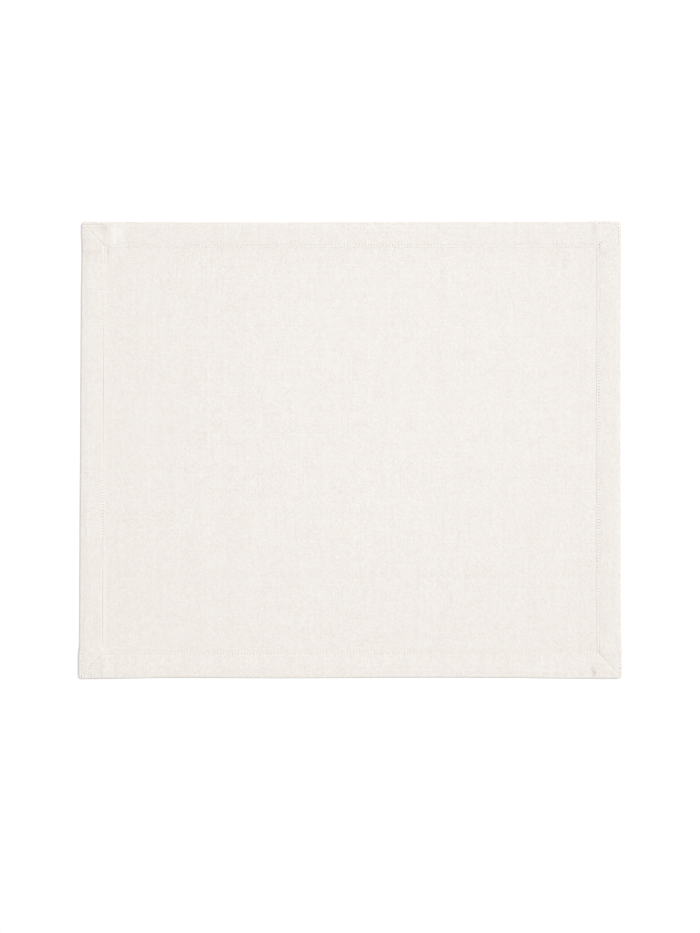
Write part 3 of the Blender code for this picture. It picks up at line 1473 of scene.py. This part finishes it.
    def _pink(self, sketch: ShaderSketch, weave: Weave) -> bpy.types.NodeSocket:
        """Draw how pink the fibres are.

        Args:
            sketch: the material's nodes.
            weave: the places in the weave.

        Returns:
            Values around 0, below it for greener fibres.
        """
        far_yarn = sketch.math("ADD", weave.warp_yarn, self.patterns.pink)
        speck = sketch.times(sketch.chance(far_yarn, weave.weft_yarn), self.pink_speck)
        return sketch.math("ADD", self.pinkness.lay(sketch, weave), speck)

    def _yellow(self, sketch: ShaderSketch, weave: Weave) -> bpy.types.NodeSocket:
        """Draw how yellow the fibres are.

        Args:
            sketch: the material's nodes.
            weave: the places in the weave.

        Returns:
            Values around 0, below it for bluer fibres.
        """
        far_yarn = sketch.math("ADD", weave.weft_yarn, self.patterns.yellow)
        speck = sketch.times(sketch.chance(weave.warp_yarn, far_yarn), self.yellow_speck)
        return sketch.math("ADD", self.yellowness.lay(sketch, weave), speck)

    def _hole_share(self, sketch: ShaderSketch) -> bpy.types.NodeSocket:
        """Find how far the needle holes' painted shade covers the cloth's colour.

        Args:
            sketch: the material's nodes.

        Returns:
            1 in a hole, falling to 0 at its rim.
        """
        hole = sketch.node("ShaderNodeMapRange", interpolation_type="SMOOTHSTEP")
        attribute = sketch.node("ShaderNodeAttribute", attribute_name="needle_hole")
        sketch.wire(attribute.outputs["Fac"], hole.inputs["Value"])
        hole.inputs["From Min"].default_value = self.hole_rim
        hole.inputs["From Max"].default_value = self.hole_core
        return hole.outputs[0]

    def _weave(self, sketch: ShaderSketch) -> Weave:
        """Find where a point lies in the weave, from the cloth's pattern map.

        Args:
            sketch: the material's nodes.

        Returns:
            The places in the weave.
        """
        split = sketch.node("ShaderNodeSeparateXYZ")
        sketch.wire(sketch.node("ShaderNodeUVMap", uv_map="pattern").outputs[0], split.inputs[0])
        u, v = split.outputs[0], split.outputs[1]
        warp = self._yarn_place(sketch, u, v, self.warp_pitch, self.patterns.warp_place)
        weft = self._yarn_place(sketch, v, u, self.weft_pitch, self.patterns.weft_place)
        warp_yarn, weft_yarn = sketch.math("FLOOR", warp), sketch.math("FLOOR", weft)
        over = sketch.math("PINGPONG", sketch.math("ADD", warp_yarn, weft_yarn), 1.0)
        return Weave(u, v, warp, weft, warp_yarn, weft_yarn, over)

    def _yarn_place(
        self, sketch: ShaderSketch, across: object, along: object, pitch: float, shift: float
    ) -> bpy.types.NodeSocket:
        """Count yarns up to a place.

        Args:
            sketch: the material's nodes.
            across: the place across the yarns.
            along: the place along them.
            pitch: distance between yarns.
            shift: a number that gives these yarns their own pattern.

        Returns:
            Yarns up to the place, with the share of the one that it lies on.
        """
        yarns = self.yarn_run
        wander_x = sketch.times(across, yarns.wander_across)
        wander_y = sketch.times(along, yarns.wander_along)
        wander = sketch.noise(wander_x, wander_y, shift)
        swell_x = sketch.times(across, yarns.swell_across)
        swell_y = sketch.times(along, yarns.swell_along)
        swell = sketch.noise(swell_x, swell_y, shift + yarns.swell_shift)
        drift = sketch.math("MULTIPLY_ADD", wander, yarns.wander, sketch.times(swell, yarns.swell))
        return sketch.math("MULTIPLY_ADD", across, 1.0 / pitch, drift)

    def _yarn_tone(self, sketch: ShaderSketch, weave: Weave) -> bpy.types.NodeSocket:
        """Find the tone of single yarns, of the fibres along them and of single crossings.

        Args:
            sketch: the material's nodes.
            weave: the places in the weave.

        Returns:
            Tones around 0.
        """
        yarns, patterns = self.yarn_run, self.patterns
        warp_step = sketch.times(weave.warp_yarn, yarns.tone_step)
        weft_step = sketch.times(weave.weft_yarn, yarns.tone_step)
        warp_fibre = sketch.times(weave.warp, yarns.fibres)
        weft_fibre = sketch.times(weave.weft, yarns.fibres)
        tone_u, tone_v = (sketch.times(place, yarns.tone_along) for place in (weave.u, weave.v))
        fibre_u, fibre_v = (sketch.times(place, yarns.fibre_along) for place in (weave.u, weave.v))
        warp_tone = sketch.total(
            sketch.times(sketch.chance(weave.warp_yarn, patterns.warp_yarn), self.warp_tone),
            sketch.times(sketch.noise(warp_step, tone_v, patterns.warp_tone), self.length_tone),
            sketch.times(sketch.noise(warp_fibre, fibre_v, patterns.warp_fibre), self.fibre_tone),
        )
        weft_tone = sketch.total(
            sketch.times(sketch.chance(patterns.weft_yarn, weave.weft_yarn), self.weft_tone),
            sketch.times(sketch.noise(tone_u, weft_step, patterns.weft_tone), self.length_tone),
            sketch.times(sketch.noise(fibre_u, weft_fibre, patterns.weft_fibre), self.fibre_tone),
        )
        crossing = sketch.times(sketch.chance(weave.warp_yarn, weave.weft_yarn), self.crossing_tone)
        return sketch.math("ADD", sketch.between(warp_tone, weft_tone, weave.over), crossing)

    def _relief(self, sketch: ShaderSketch, weave: Weave) -> bpy.types.NodeSocket:
        """Find the height of the weave, of round yarns that pass over and under each other.

        Args:
            sketch: the material's nodes.
            weave: the places in the weave.

        Returns:
            Heights from 0 to 1.
        """
        warp_arch, weft_arch = sketch.arch(weave.warp), sketch.arch(weave.weft)
        warp_bow = sketch.math("MULTIPLY_ADD", weft_arch, self.yarn_bow, 1.0 - self.yarn_bow)
        weft_bow = sketch.math("MULTIPLY_ADD", warp_arch, self.yarn_bow, 1.0 - self.yarn_bow)
        warp_top = sketch.times(sketch.math("POWER", warp_arch, self.yarn_round), warp_bow)
        weft_top = sketch.times(sketch.math("POWER", weft_arch, self.yarn_round), weft_bow)
        return sketch.between(warp_top, weft_top, weave.over)


@dataclass(frozen=True)
class ThreadFinish:
    """Cream sewing thread with a soft sheen and a fine ply.

    Args:
        colour: the thread's colour.
        painted_ply_shade: painted shade between its plies, its colour.
        groove_share: how much of that painted shade shows at most.
        per_metre: swings of the ply's noise to a metre.
        detail: number of its finer layers.
        relief: height of the plies' rounding.
        roughness: how matt the thread is.
        sheen: how strongly its fibres catch light at the edges.
    """

    colour: tuple[float, float, float, float] = (0.98, 0.96, 0.92, 1.0)
    painted_ply_shade: tuple[float, float, float, float] = (0.90, 0.86, 0.80, 1.0)
    groove_share: float = 0.5
    per_metre: float = 5000.0
    detail: float = 2.0
    relief: float = 0.00003
    roughness: float = 0.55
    sheen: float = 0.1

    def make(self) -> bpy.types.Material:
        """Lay the nodes of the thread.

        Returns:
            The thread's material.
        """
        material = bpy.data.materials.new("cream_thread")
        sketch = ShaderSketch(material)
        place = sketch.node("ShaderNodeTexCoord").outputs["Object"]
        noise = sketch.node("ShaderNodeTexNoise")
        sketch.wire(place, noise.inputs["Vector"])
        noise.inputs["Scale"].default_value = self.per_metre
        noise.inputs["Detail"].default_value = self.detail
        # Painted shade between the plies
        share = sketch.times(noise.outputs[0], self.groove_share)
        colour = sketch.tint(self.colour, self.painted_ply_shade, share)
        sketch.wire(colour, sketch.shader.inputs["Base Color"])
        bump = sketch.node("ShaderNodeBump")
        bump.inputs["Distance"].default_value = self.relief
        sketch.wire(noise.outputs[0], bump.inputs["Height"])
        sketch.wire(bump.outputs[0], sketch.shader.inputs["Normal"])
        sketch.shader.inputs["Roughness"].default_value = self.roughness
        sketch.shader.inputs["Sheen Weight"].default_value = self.sheen
        return material


@dataclass(frozen=True)
class Ring:
    """One loop of mesh points round the mat.

    Args:
        inset: distance in from the outer fold.
        zone: the skin that the faces between this ring and the last belong to.
        roll: its place on the outer fold's rounding, 1 at the top, -1 below; None off the fold.
    """

    inset: float
    zone: Zone
    roll: float | None = None


@dataclass
class LinenCloth:
    """The hemmed cloth as one closed mesh.

    Args:
        form: the form in which the mat lies.
        finish: the cloth's material.
        panel_inset: how far in from the outer fold the panel's grid ends.
        panel_rings: insets of the rings between that grid and the inner fold.
        fold_rings: insets of the rings over the inner fold, up to the hem stitching.
        seam_ring_gap: distance from the hem stitching to the ring outside it.
        edge_ring_gap: distance from the edge stitching to the ring outside it.
        roll_turns: degrees of the rings on the outer fold's rounding, 90 at its top.
        under_rings: insets of the rings on the underside, outside its grid.
        fine_columns: columns of close mesh inside each end of the panel.
        under_step: stitch half steps to one cell of the underside's grid.
        corner_places: extra mesh points beside each corner, in half steps.
        hole_reach: distance over which a needle hole's value fades round it.
        hole_spread: least and greatest opening of single needle holes, 1 for the usual.
    """

    form: MatForm
    finish: LinenFinish
    panel_inset: float = 0.0240
    panel_rings: tuple[float, ...] = (0.0232, 0.0225, 0.0216, 0.0212)
    fold_rings: tuple[float, ...] = (0.0210, 0.0208, 0.0206, 0.0204, 0.0201, 0.0197, 0.0193, 0.0190)
    seam_ring_gap: float = 0.0003
    edge_ring_gap: float = 0.0005
    roll_turns: tuple[int, ...] = (80, 60, 40, 20, 0, -20, -40, -60, -80)
    under_rings: tuple[float, ...] = (0.0013, 0.0022, 0.0032, 0.0100, 0.0172, 0.0182, 0.0187, 0.0192, 0.0204)
    fine_columns: int = 16
    under_step: int = 4
    corner_places: tuple[float, ...] = (0.22, 0.5)
    hole_reach: float = 0.00125
    hole_spread: tuple[float, float] = (0.94, 1.04)

    def __post_init__(self) -> None:
        """Work out the mesh points round the mat, in half steps between needle holes."""
        self.count_x = 2 * self.form.stitches_x
        self.count_y = 2 * self.form.stitches_y
        self.places_x = self._places(self.count_x)
        self.places_y = self._places(self.count_y)
        run_x = 2.0 * np.array(self.places_x) / self.count_x - 1.0
        run_y = 2.0 * np.array(self.places_y) / self.count_y - 1.0
        ones_x, ones_y = np.ones(len(run_x) - 1), np.ones(len(run_y) - 1)
        self.loop_x = np.concatenate([run_x[:-1], ones_y, run_x[:0:-1], -ones_y])
        self.loop_y = np.concatenate([-ones_x, run_y[:-1], ones_x, run_y[:0:-1]])

    def _places(self, count: int) -> list[float]:
        """List the mesh points along one side.

        Args:
            count: half steps along the side.

        Returns:
            Every half step, and the extra places beside the corners.
        """
        near = list(self.corner_places)
        far = [count - place for place in reversed(near)]
        return [0, *near, *range(1, count), *far, count]

    def rings(self) -> list[Ring]:
        """List the mesh's rings.

        Returns:
            The rings from the panel's rim over the outer fold and back to the underside's rim.
        """
        fold = self.form.fold
        seam = (fold.stitch_inset, fold.stitch_inset - self.seam_ring_gap)
        rows = [Ring(inset, Zone.PANEL) for inset in (self.panel_inset, *self.panel_rings)]
        rows += [Ring(inset, Zone.HEM) for inset in (*self.fold_rings, *seam)]
        steps = 2 * self.form.mitre_stitches
        for step in range(1, steps + 1):
            share = step / steps
            rows.append(Ring(fold.stitch_inset + (fold.edge_inset - fold.stitch_inset) * share, Zone.HEM))
        rows.append(Ring(fold.edge_inset - self.edge_ring_gap, Zone.HEM))
        for turn in self.roll_turns:
            angle = math.radians(turn)
            zone = Zone.HEM if turn >= 0 else Zone.UNDERSIDE
            rows.append(Ring(fold.roll * (1.0 - math.cos(angle)), zone, math.sin(angle)))
        return rows + [Ring(inset, Zone.UNDERSIDE) for inset in (*self.under_rings, self.panel_inset)]

    def build(self) -> bpy.types.Object:
        """Make the cloth's mesh and dress it.

        Returns:
            The cloth.
        """
        rings = self.rings()
        loop = len(self.loop_x)
        points = [self._ring_points(ring) for ring in rings]
        faces, zones = self._ring_faces(rings)
        close = self._stations(self.count_x), self._stations(self.count_y)
        self._add_grid(points, faces, zones, 0, close, Skin.TOP)
        wide = tuple(list(range(0, count + 1, self.under_step)) for count in (self.count_x, self.count_y))
        self._add_grid(points, faces, zones, (len(rings) - 1) * loop, wide, Skin.UNDERSIDE)

        straight = np.concatenate(points)
        top_rings = [number for number, ring in enumerate(rings) if self._on_top(ring)]
        holes = self._hole_marks(straight, top_rings, loop)
        straight[:, 2] -= self.form.needle_dip * holes
        mesh = bpy.data.meshes.new("linen_cloth")
        mesh.from_pydata(self._placed(straight), [], faces)
        self._map_pattern(mesh, straight, np.array(zones))
        upper = np.zeros(len(straight))
        upper[: loop * (top_rings[-1] + 1)] = 1.0
        first_own = len(rings) * loop
        upper[first_own : first_own + len(points[len(rings)])] = 1.0
        # Painted shade and painted light on the upper skin only
        tones = self.form.tone(straight[:, 0], straight[:, 1]) * upper
        for name, values in (("needle_hole", holes), ("painted_shade_and_light", tones)):
            layer = mesh.attributes.new(name, "FLOAT", "POINT")
            layer.data.foreach_set("value", values.astype(np.float32))
        mesh.materials.append(self.finish.make())
        mesh.shade_smooth()
        mesh.validate()
        cloth = bpy.data.objects.new("linen_cloth", mesh)
        bpy.context.scene.collection.objects.link(cloth)
        return cloth

    def _ring_faces(self, rings: list[Ring]) -> tuple[list[tuple[int, ...]], list[int]]:
        """Join each ring to the next one.

        Args:
            rings: the rings, in order.

        Returns:
            The faces, as numbers of their points, and each face's zone.
        """
        loop = len(self.loop_x)
        faces: list[tuple[int, ...]] = []
        zones: list[int] = []
        for number, ring in enumerate(rings[1:]):
            low, high = number * loop, (number + 1) * loop
            for step in range(loop):
                after = (step + 1) % loop
                faces.append((low + step, high + step, high + after, low + after))
            zones += [ring.zone.value] * loop
        return faces, zones

    def _on_top(self, ring: Ring) -> bool:
        """Whether a ring lies on the upper skin, inside the outer fold's rounding."""
        return ring.zone is not Zone.UNDERSIDE and ring.roll is None

    def _ring_points(self, ring: Ring) -> Array:
        """Find the points of one ring on the straight mat.

        Args:
            ring: the ring.

        Returns:
            Its points, as rows of three coordinates.
        """
        x = self.loop_x * (self.form.half_width - ring.inset)
        y = self.loop_y * (self.form.half_depth - ring.inset)
        if ring.roll is None:
            height = self.form.top_height(x, y) if self._on_top(ring) else self.form.under_height(x, y)
            return np.stack([x, y, height], axis=1)
        fold = self.form.fold
        shoulder_x = self.loop_x * (self.form.half_width - fold.roll)
        shoulder_y = self.loop_y * (self.form.half_depth - fold.roll)
        lift = self.form.lift(x, y)
        crown = self.form.top_height(shoulder_x, shoulder_y) - lift - fold.waist
        reach = crown if ring.roll > 0 else fold.waist
        return np.stack([x, y, lift + fold.waist + reach * ring.roll], axis=1)

    def _stations(self, count: int) -> list[int]:
        """List the half steps along one side that carry a column of the panel's grid.

        Args:
            count: half steps along the side.

        Returns:
            Every one near the ends, and every second one between.
        """
        fine = self.fine_columns
        middle = range(fine + 2, count - fine - 1, 2)
        return [*range(fine + 1), *middle, *range(count - fine, count + 1)]

    def _add_grid(
        self,
        points: list[Array],
        faces: list[tuple[int, ...]],
        zones: list[int],
        rim: int,
        stations: tuple[list[int], list[int]],
        skin: Skin,
    ) -> None:
        """Fill a ring with a grid, whose cells at the rim take in all of the ring's points.

        Args:
            points: arrays of points, to which the grid's are added.
            faces: faces, to which the grid's are added.
            zones: each face's zone, to which the grid's are added.
            rim: number of the ring's first point.
            stations: half steps that carry a column, and those that carry a row.
            skin: the side of the cloth that the grid faces.
        """
        columns, rows = stations
        start = sum(len(part) for part in points)
        x = (2.0 * np.array(columns[1:-1]) / self.count_x - 1.0) * (self.form.half_width - self.panel_inset)
        y = (2.0 * np.array(rows[1:-1]) / self.count_y - 1.0) * (self.form.half_depth - self.panel_inset)
        grid_x, grid_y = (axis.ravel() for axis in np.meshgrid(x, y, indexing="ij"))
        on_top = skin is Skin.TOP
        height = (self.form.top_height if on_top else self.form.under_height)(grid_x, grid_y)
        points.append(np.stack([grid_x, grid_y, height], axis=1))

        numbers = self._rim_numbers(rim)
        for at, column in enumerate(columns[1:-1]):
            for up, row in enumerate(rows[1:-1]):
                numbers[column, row] = start + at * len(y) + up
        for left, right in zip(columns, columns[1:]):
            for low, high in zip(rows, rows[1:]):
                face = tuple(numbers[corner] for corner in self._cell(left, right, low, high))
                faces.append(face if on_top else face[::-1])
                zones.append(Zone.PANEL.value if on_top else Zone.UNDERSIDE.value)

    def _rim_numbers(self, rim: int) -> dict[tuple[float, float], int]:
        """Number the points of a ring.

        Args:
            rim: number of the ring's first point.

        Returns:
            Each point's number, by its place along X and along Y.
        """
        loop = [(place, 0) for place in self.places_x[:-1]]
        loop += [(self.count_x, place) for place in self.places_y[:-1]]
        loop += [(place, self.count_y) for place in self.places_x[:0:-1]]
        loop += [(0, place) for place in self.places_y[:0:-1]]
        return {place: rim + step for step, place in enumerate(loop)}

    def _cell(self, left: int, right: int, low: int, high: int) -> list[tuple[float, float]]:
        """List the places round one cell of a grid.

        Args:
            left: the cell's first half step along X.
            right: its last one along X.
            low: its first half step along Y.
            high: its last one along Y.

        Returns:
            The places, with all of the ring's ones where the cell lies at the rim.
        """
        bottom, top, outer_left, outer_right = [left], [right], [high], [low]
        if low == 0:
            bottom = [place for place in self.places_x if left <= place < right]
        if right == self.count_x:
            outer_right = [place for place in self.places_y if low <= place < high]
        if high == self.count_y:
            top = [place for place in reversed(self.places_x) if left < place <= right]
        if left == 0:
            outer_left = [place for place in reversed(self.places_y) if low < place <= high]
        places = [(place, low) for place in bottom]
        places += [(right, place) for place in outer_right]
        places += [(place, high) for place in top]
        return places + [(left, place) for place in outer_left]

    def _placed(self, straight: Array) -> Array:
        """The straight mat's points moved to where the real one has them."""
        x, y = self.form.plan(straight[:, 0], straight[:, 1])
        return np.stack([x, y, straight[:, 2]], axis=1)

    def _map_pattern(self, mesh: bpy.types.Mesh, straight: Array, zones: Array) -> None:
        """Write the map that says where on the flat, unfolded cloth each corner of a face lies.

        Args:
            mesh: the cloth's mesh.
            straight: its points on the straight mat.
            zones: each face's zone.
        """
        points = np.empty(len(mesh.loops), np.int32)
        mesh.loops.foreach_get("vertex_index", points)
        totals = np.empty(len(mesh.polygons), np.int32)
        mesh.polygons.foreach_get("loop_total", totals)
        x, y = straight[points, 0], straight[points, 1]
        owner = np.repeat(np.arange(len(totals)), totals)
        in_x, in_y = self.form.insets(x, y)
        mean_x = np.bincount(owner, in_x) / totals
        mean_y = np.bincount(owner, in_y) / totals
        on_short_side = (mean_x < mean_y)[owner]
        turned = zones[owner] == Zone.HEM.value
        u = np.where(turned & on_short_side, np.sign(x) * (self.form.half_width + in_x), x)
        v = np.where(turned & ~on_short_side, np.sign(y) * (self.form.half_depth + in_y), y)
        layer = mesh.uv_layers.new(name="pattern")
        layer.uv.foreach_set("vector", np.stack([u, v], axis=1).astype(np.float32).ravel())

    def _hole_marks(self, straight: Array, top_rings: list[int], loop: int) -> Array:
        """Mark the open needle holes of the upper skin.

        Args:
            straight: the mesh's points on the straight mat.
            top_rings: numbers of the rings on the upper skin.
            loop: points to a ring.

        Returns:
            About 1 at each hole, fading round it, for every point.
        """
        draw = np.random.default_rng(HOLE_SEED)
        marks = np.zeros(len(straight))
        rows = [row for row in self.form.seam_rows() if row.opening > 0]
        holes = np.concatenate([row.holes for row in rows])
        opening = np.concatenate([np.full(len(row.holes), row.opening) for row in rows])
        opening = opening * draw.uniform(*self.hole_spread, len(opening))
        for number in top_rings:
            part = slice(number * loop, (number + 1) * loop)
            gaps = straight[part, None, :2] - holes[None, :, :]
            away = np.hypot(gaps[..., 0], gaps[..., 1])
            marks[part] = (opening * np.clip(1.0 - away / self.hole_reach, 0.0, 1.0)).max(axis=1)
        return marks


@dataclass
class SewingThread:
    """All the stitches of one skin, copied from one modelled stitch.

    Args:
        name: the piece's name.
        form: the form in which the mat lies.
        finish: the thread's material.
        skin: the skin that the stitches lie on.
        radius: half the thread's thickness.
        sides: sides of the thread's section.
        steps: lengths that one stitch is divided into.
        twist: turns of the plies in one stitch.
        bury: how deep a stitch's ends go into their holes.
        stand: how high a stitch's middle stands over the groove.
        flatness: height of the thread's section, as a share of its width.
        end_width: width of a stitch's ends, as a share of its middle's.
        seat: how high the thread's middle lies over the cloth, in radii.
        wander: how far a stitch's middle usually lies to one side.
        thickness: least and greatest thickness of single stitches, 1 for the usual.
    """

    name: str
    form: MatForm
    finish: ThreadFinish
    skin: Skin
    radius: float = 0.00025
    sides: int = 6
    steps: int = 6
    twist: float = 1.5
    bury: float = 0.00034
    stand: float = 0.00004
    flatness: float = 0.65
    end_width: float = 0.55
    seat: float = 0.3
    wander: float = 0.00003
    thickness: tuple[float, float] = (0.92, 1.08)

    def model_stitch(self) -> tuple[Array, list[tuple[int, ...]]]:
        """Model one stitch along X, one unit long.

        Returns:
            Its points, as rows of three coordinates, and its faces.
        """
        middle = (0.5, 0.0, 0.0)
        bpy.ops.object.select_all(action="DESELECT")
        bpy.ops.mesh.primitive_cylinder_add(
            vertices=self.sides,
            radius=1.0,
            depth=1.0,
            location=middle,
            rotation=(0.0, math.pi / 2, 0.0),
        )
        stitch = bpy.context.object
        bpy.ops.object.transform_apply(location=True, rotation=True, scale=True)
        bpy.ops.object.mode_set(mode="EDIT")
        bpy.ops.mesh.select_mode(type="EDGE")
        bpy.ops.mesh.select_all(action="DESELECT")
        bpy.ops.object.mode_set(mode="OBJECT")
        points = stitch.data.vertices
        for edge in stitch.data.edges:
            first, second = (points[number].co for number in edge.vertices)
            edge.select = abs(first.x - second.x) > middle[0]
        bpy.ops.object.mode_set(mode="EDIT")
        bpy.ops.mesh.subdivide(number_cuts=self.steps - 1)
        bpy.ops.mesh.select_all(action="SELECT")
        bpy.ops.transform.resize(value=(1.0, 1.0, self.flatness), center_override=middle)
        bpy.ops.object.mode_set(mode="OBJECT")
        ply = stitch.modifiers.new("ply", "SIMPLE_DEFORM")
        ply.deform_method = "TWIST"
        ply.deform_axis = "X"
        ply.angle = math.tau * self.twist
        bpy.ops.object.modifier_apply(modifier=ply.name)
        shape = np.array([vertex.co[:] for vertex in stitch.data.vertices])
        faces = [tuple(face.vertices) for face in stitch.data.polygons]
        bpy.data.objects.remove(stitch, do_unlink=True)
        return shape, faces

    def build(self) -> bpy.types.Object:
        """Lay a copy of the stitch between each two holes.

        Returns:
            The joined piece.
        """
        shape, stitch_faces = self.model_stitch()
        along = shape[:, 0]
        arch = np.sin(math.pi * np.clip(along, 0.0, 1.0))
        points: list[Array] = []
        faces: list[tuple[int, ...]] = []
        draw = np.random.default_rng(STITCH_SEED)
        for row in self.form.seam_rows():
            places = self.form.point(row.holes[:, 0], row.holes[:, 1], self.skin)
            for first, second in zip(places, places[1:]):
                run = second - first
                length = float(np.linalg.norm(run[:2]))
                ahead = np.array([run[0], run[1], 0.0]) / length
                across = np.array([-ahead[1], ahead[0], 0.0])
                wander = draw.normal(0.0, self.wander)
                thick = self.radius * draw.uniform(*self.thickness)
                body = thick * (self.end_width + (1.0 - self.end_width) * np.sqrt(arch))
                base = first + (along * length)[:, None] * ahead
                base[:, 2] = first[2] + along * run[2]
                lie = thick * self.seat - self.bury - row.sunk
                rise = self.skin.value * (arch * (self.stand + self.bury) + lie)
                copy = base + (shape[:, 1] * body + wander * arch)[:, None] * across
                copy[:, 2] = np.maximum(copy[:, 2] + shape[:, 2] * body + rise, TABLE_GAP)
                start = sum(len(part) for part in points)
                points.append(copy)
                faces += [tuple(start + number for number in face) for face in stitch_faces]
        mesh = bpy.data.meshes.new(self.name)
        mesh.from_pydata(np.concatenate(points), [], faces)
        mesh.materials.append(self.finish.make())
        mesh.shade_smooth()
        thread = bpy.data.objects.new(self.name, mesh)
        bpy.context.scene.collection.objects.link(thread)
        return thread


@dataclass
class Studio:
    """The pale floor, the soft light and the camera straight above the mat.

    Args:
        picture_height: the picture's height in pixels.
        pixel: size of one pixel at the mat.
        middle_x: the picture's middle, along X.
        middle_y: the picture's middle, along Y.
        lens: focal length in millimetres.
        sensor: long side of the sensor in millimetres.
        cloth_height: height of the face that the framing was measured on.
        nearest: distance from which the camera sees.
        furthest: distance up to which it sees.
        floor_size: length of the floor's sides.
        floor_drop: how far the floor lies under the mat.
        floor_colour: the floor's colour.
        floor_roughness: how matt the floor is.
        floor_shine: how strongly it mirrors light.
        sky: strength of the even light.
        sky_colour: its colour.
        key_turn: degrees from the X axis to where the key light comes from.
        key_height: degrees that it stands over the floor.
        key_share: brightness that it adds to a white floor.
        key_spread: degrees that it is seen wide, which soften its shadows.
        fill_place: where the fill lamp hangs.
        fill_size: its width.
        fill_share: brightness that it adds to a white floor under it.
        fill_colour: its colour.
        sharpness: width of the picture's filter in pixels.
    """

    picture_height: int = 933
    pixel: float = 0.8333 * MM
    middle_x: float = -0.2 * MM
    middle_y: float = -13.8 * MM
    lens: float = 85.0
    sensor: float = 36.0
    cloth_height: float = 0.001
    nearest: float = 0.01
    furthest: float = 50.0
    floor_size: float = 12.0
    floor_drop: float = 0.0002
    floor_colour: tuple[float, float, float, float] = (0.95, 0.95, 0.95, 1.0)
    floor_roughness: float = 0.9
    floor_shine: float = 0.1
    sky: float = 0.80
    sky_colour: tuple[float, float, float, float] = (1.005, 1.0, 0.985, 1.0)
    key_turn: float = 31.0
    key_height: float = 45.0
    key_share: float = 0.255
    key_spread: float = 9.0
    fill_place: tuple[float, float, float] = (0.07, 0.07, 0.52)
    fill_size: float = 0.20
    fill_share: float = 0.10
    fill_colour: tuple[float, float, float] = (0.88, 1.0, 1.22)
    sharpness: float = 1.0

    def place_camera(self) -> bpy.types.Object:
        """Put the camera straight above the mat, at the photograph's framing.

        Returns:
            The camera.
        """
        data = bpy.data.cameras.new("camera")
        data.lens = self.lens
        data.sensor_width = self.sensor
        height = self.picture_height * self.pixel * self.lens / self.sensor
        data.clip_start, data.clip_end = self.nearest, self.furthest
        camera = bpy.data.objects.new("camera", data)
        camera.location = (self.middle_x, self.middle_y, height + self.cloth_height)
        bpy.context.scene.collection.objects.link(camera)
        bpy.context.scene.camera = camera
        return camera

    def lay_floor(self) -> bpy.types.Object:
        """Lay the pale floor just under the mat.

        Returns:
            The floor.
        """
        bpy.ops.object.select_all(action="DESELECT")
        bpy.ops.mesh.primitive_plane_add(size=self.floor_size, location=(0.0, 0.0, -self.floor_drop))
        floor = bpy.context.object
        floor.name = "studio_floor"
        bpy.ops.object.transform_apply(location=True, rotation=True, scale=True)
        material = bpy.data.materials.new("pale_floor")
        material.use_nodes = True
        shader = material.node_tree.nodes["Principled BSDF"]
        shader.inputs["Base Color"].default_value = self.floor_colour
        shader.inputs["Roughness"].default_value = self.floor_roughness
        shader.inputs["Specular IOR Level"].default_value = self.floor_shine
        floor.data.materials.append(material)
        return floor

    def light(self) -> None:
        """Light the mat with an even sky and one soft key from the top right."""
        world = bpy.data.worlds.new("studio_sky")
        world.use_nodes = True
        background = world.node_tree.nodes["Background"]
        background.inputs["Color"].default_value = self.sky_colour
        background.inputs["Strength"].default_value = self.sky
        bpy.context.scene.world = world
        height, turn = math.radians(self.key_height), math.radians(self.key_turn)
        data = bpy.data.lights.new("key", "SUN")
        data.energy = math.pi * self.key_share / math.sin(height)
        data.angle = math.radians(self.key_spread)
        key = bpy.data.objects.new("key", data)
        key.rotation_euler = (0.0, math.pi / 2 - height, turn)
        bpy.context.scene.collection.objects.link(key)
        self._hang_fill()

    def _hang_fill(self) -> None:
        """Hang a small soft lamp over the right of the mat, so light falls off to the lower left."""
        data = bpy.data.lights.new("fill", "AREA")
        data.shape = "DISK"
        data.size = self.fill_size
        data.color = self.fill_colour
        data.energy = self.fill_share * (math.pi * self.fill_place[2]) ** 2
        fill = bpy.data.objects.new("fill", data)
        fill.location = self.fill_place
        fill.visible_camera = False
        bpy.context.scene.collection.objects.link(fill)

    def set_tones(self) -> None:
        """Show colours as they are, with no film curve."""
        bpy.context.scene.view_settings.view_transform = "Standard"
        bpy.context.scene.view_settings.look = "None"
        bpy.context.scene.cycles.filter_width = self.sharpness


def hand_over(piece: bpy.types.Object) -> None:
    """Let a piece ride on the mat's body and report it.

    Args:
        piece: the piece.
    """
    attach(piece, BODY)
    triangles = sum(len(face.vertices) - 2 for face in piece.data.polygons)
    LOG.info("%s: %d triangles", piece.name, triangles)


def main() -> None:
    """Build the studio, the cloth and its thread, in order."""
    logging.basicConfig(level=logging.INFO, format="%(name)s: %(message)s")
    studio = Studio()
    studio.place_camera()
    floor = studio.lay_floor()
    studio.light()
    studio.set_tones()

    form = MatForm()
    cloth = LinenCloth(form, LinenFinish()).build()
    hand_over(cloth)
    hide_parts(NODE)

    finish = ThreadFinish()
    for name, skin in (("hem_thread", Skin.TOP), ("bobbin_thread", Skin.UNDERSIDE)):
        thread = SewingThread(name, form, finish, skin).build()
        hand_over(thread)


if __name__ == "__main__":
    main()
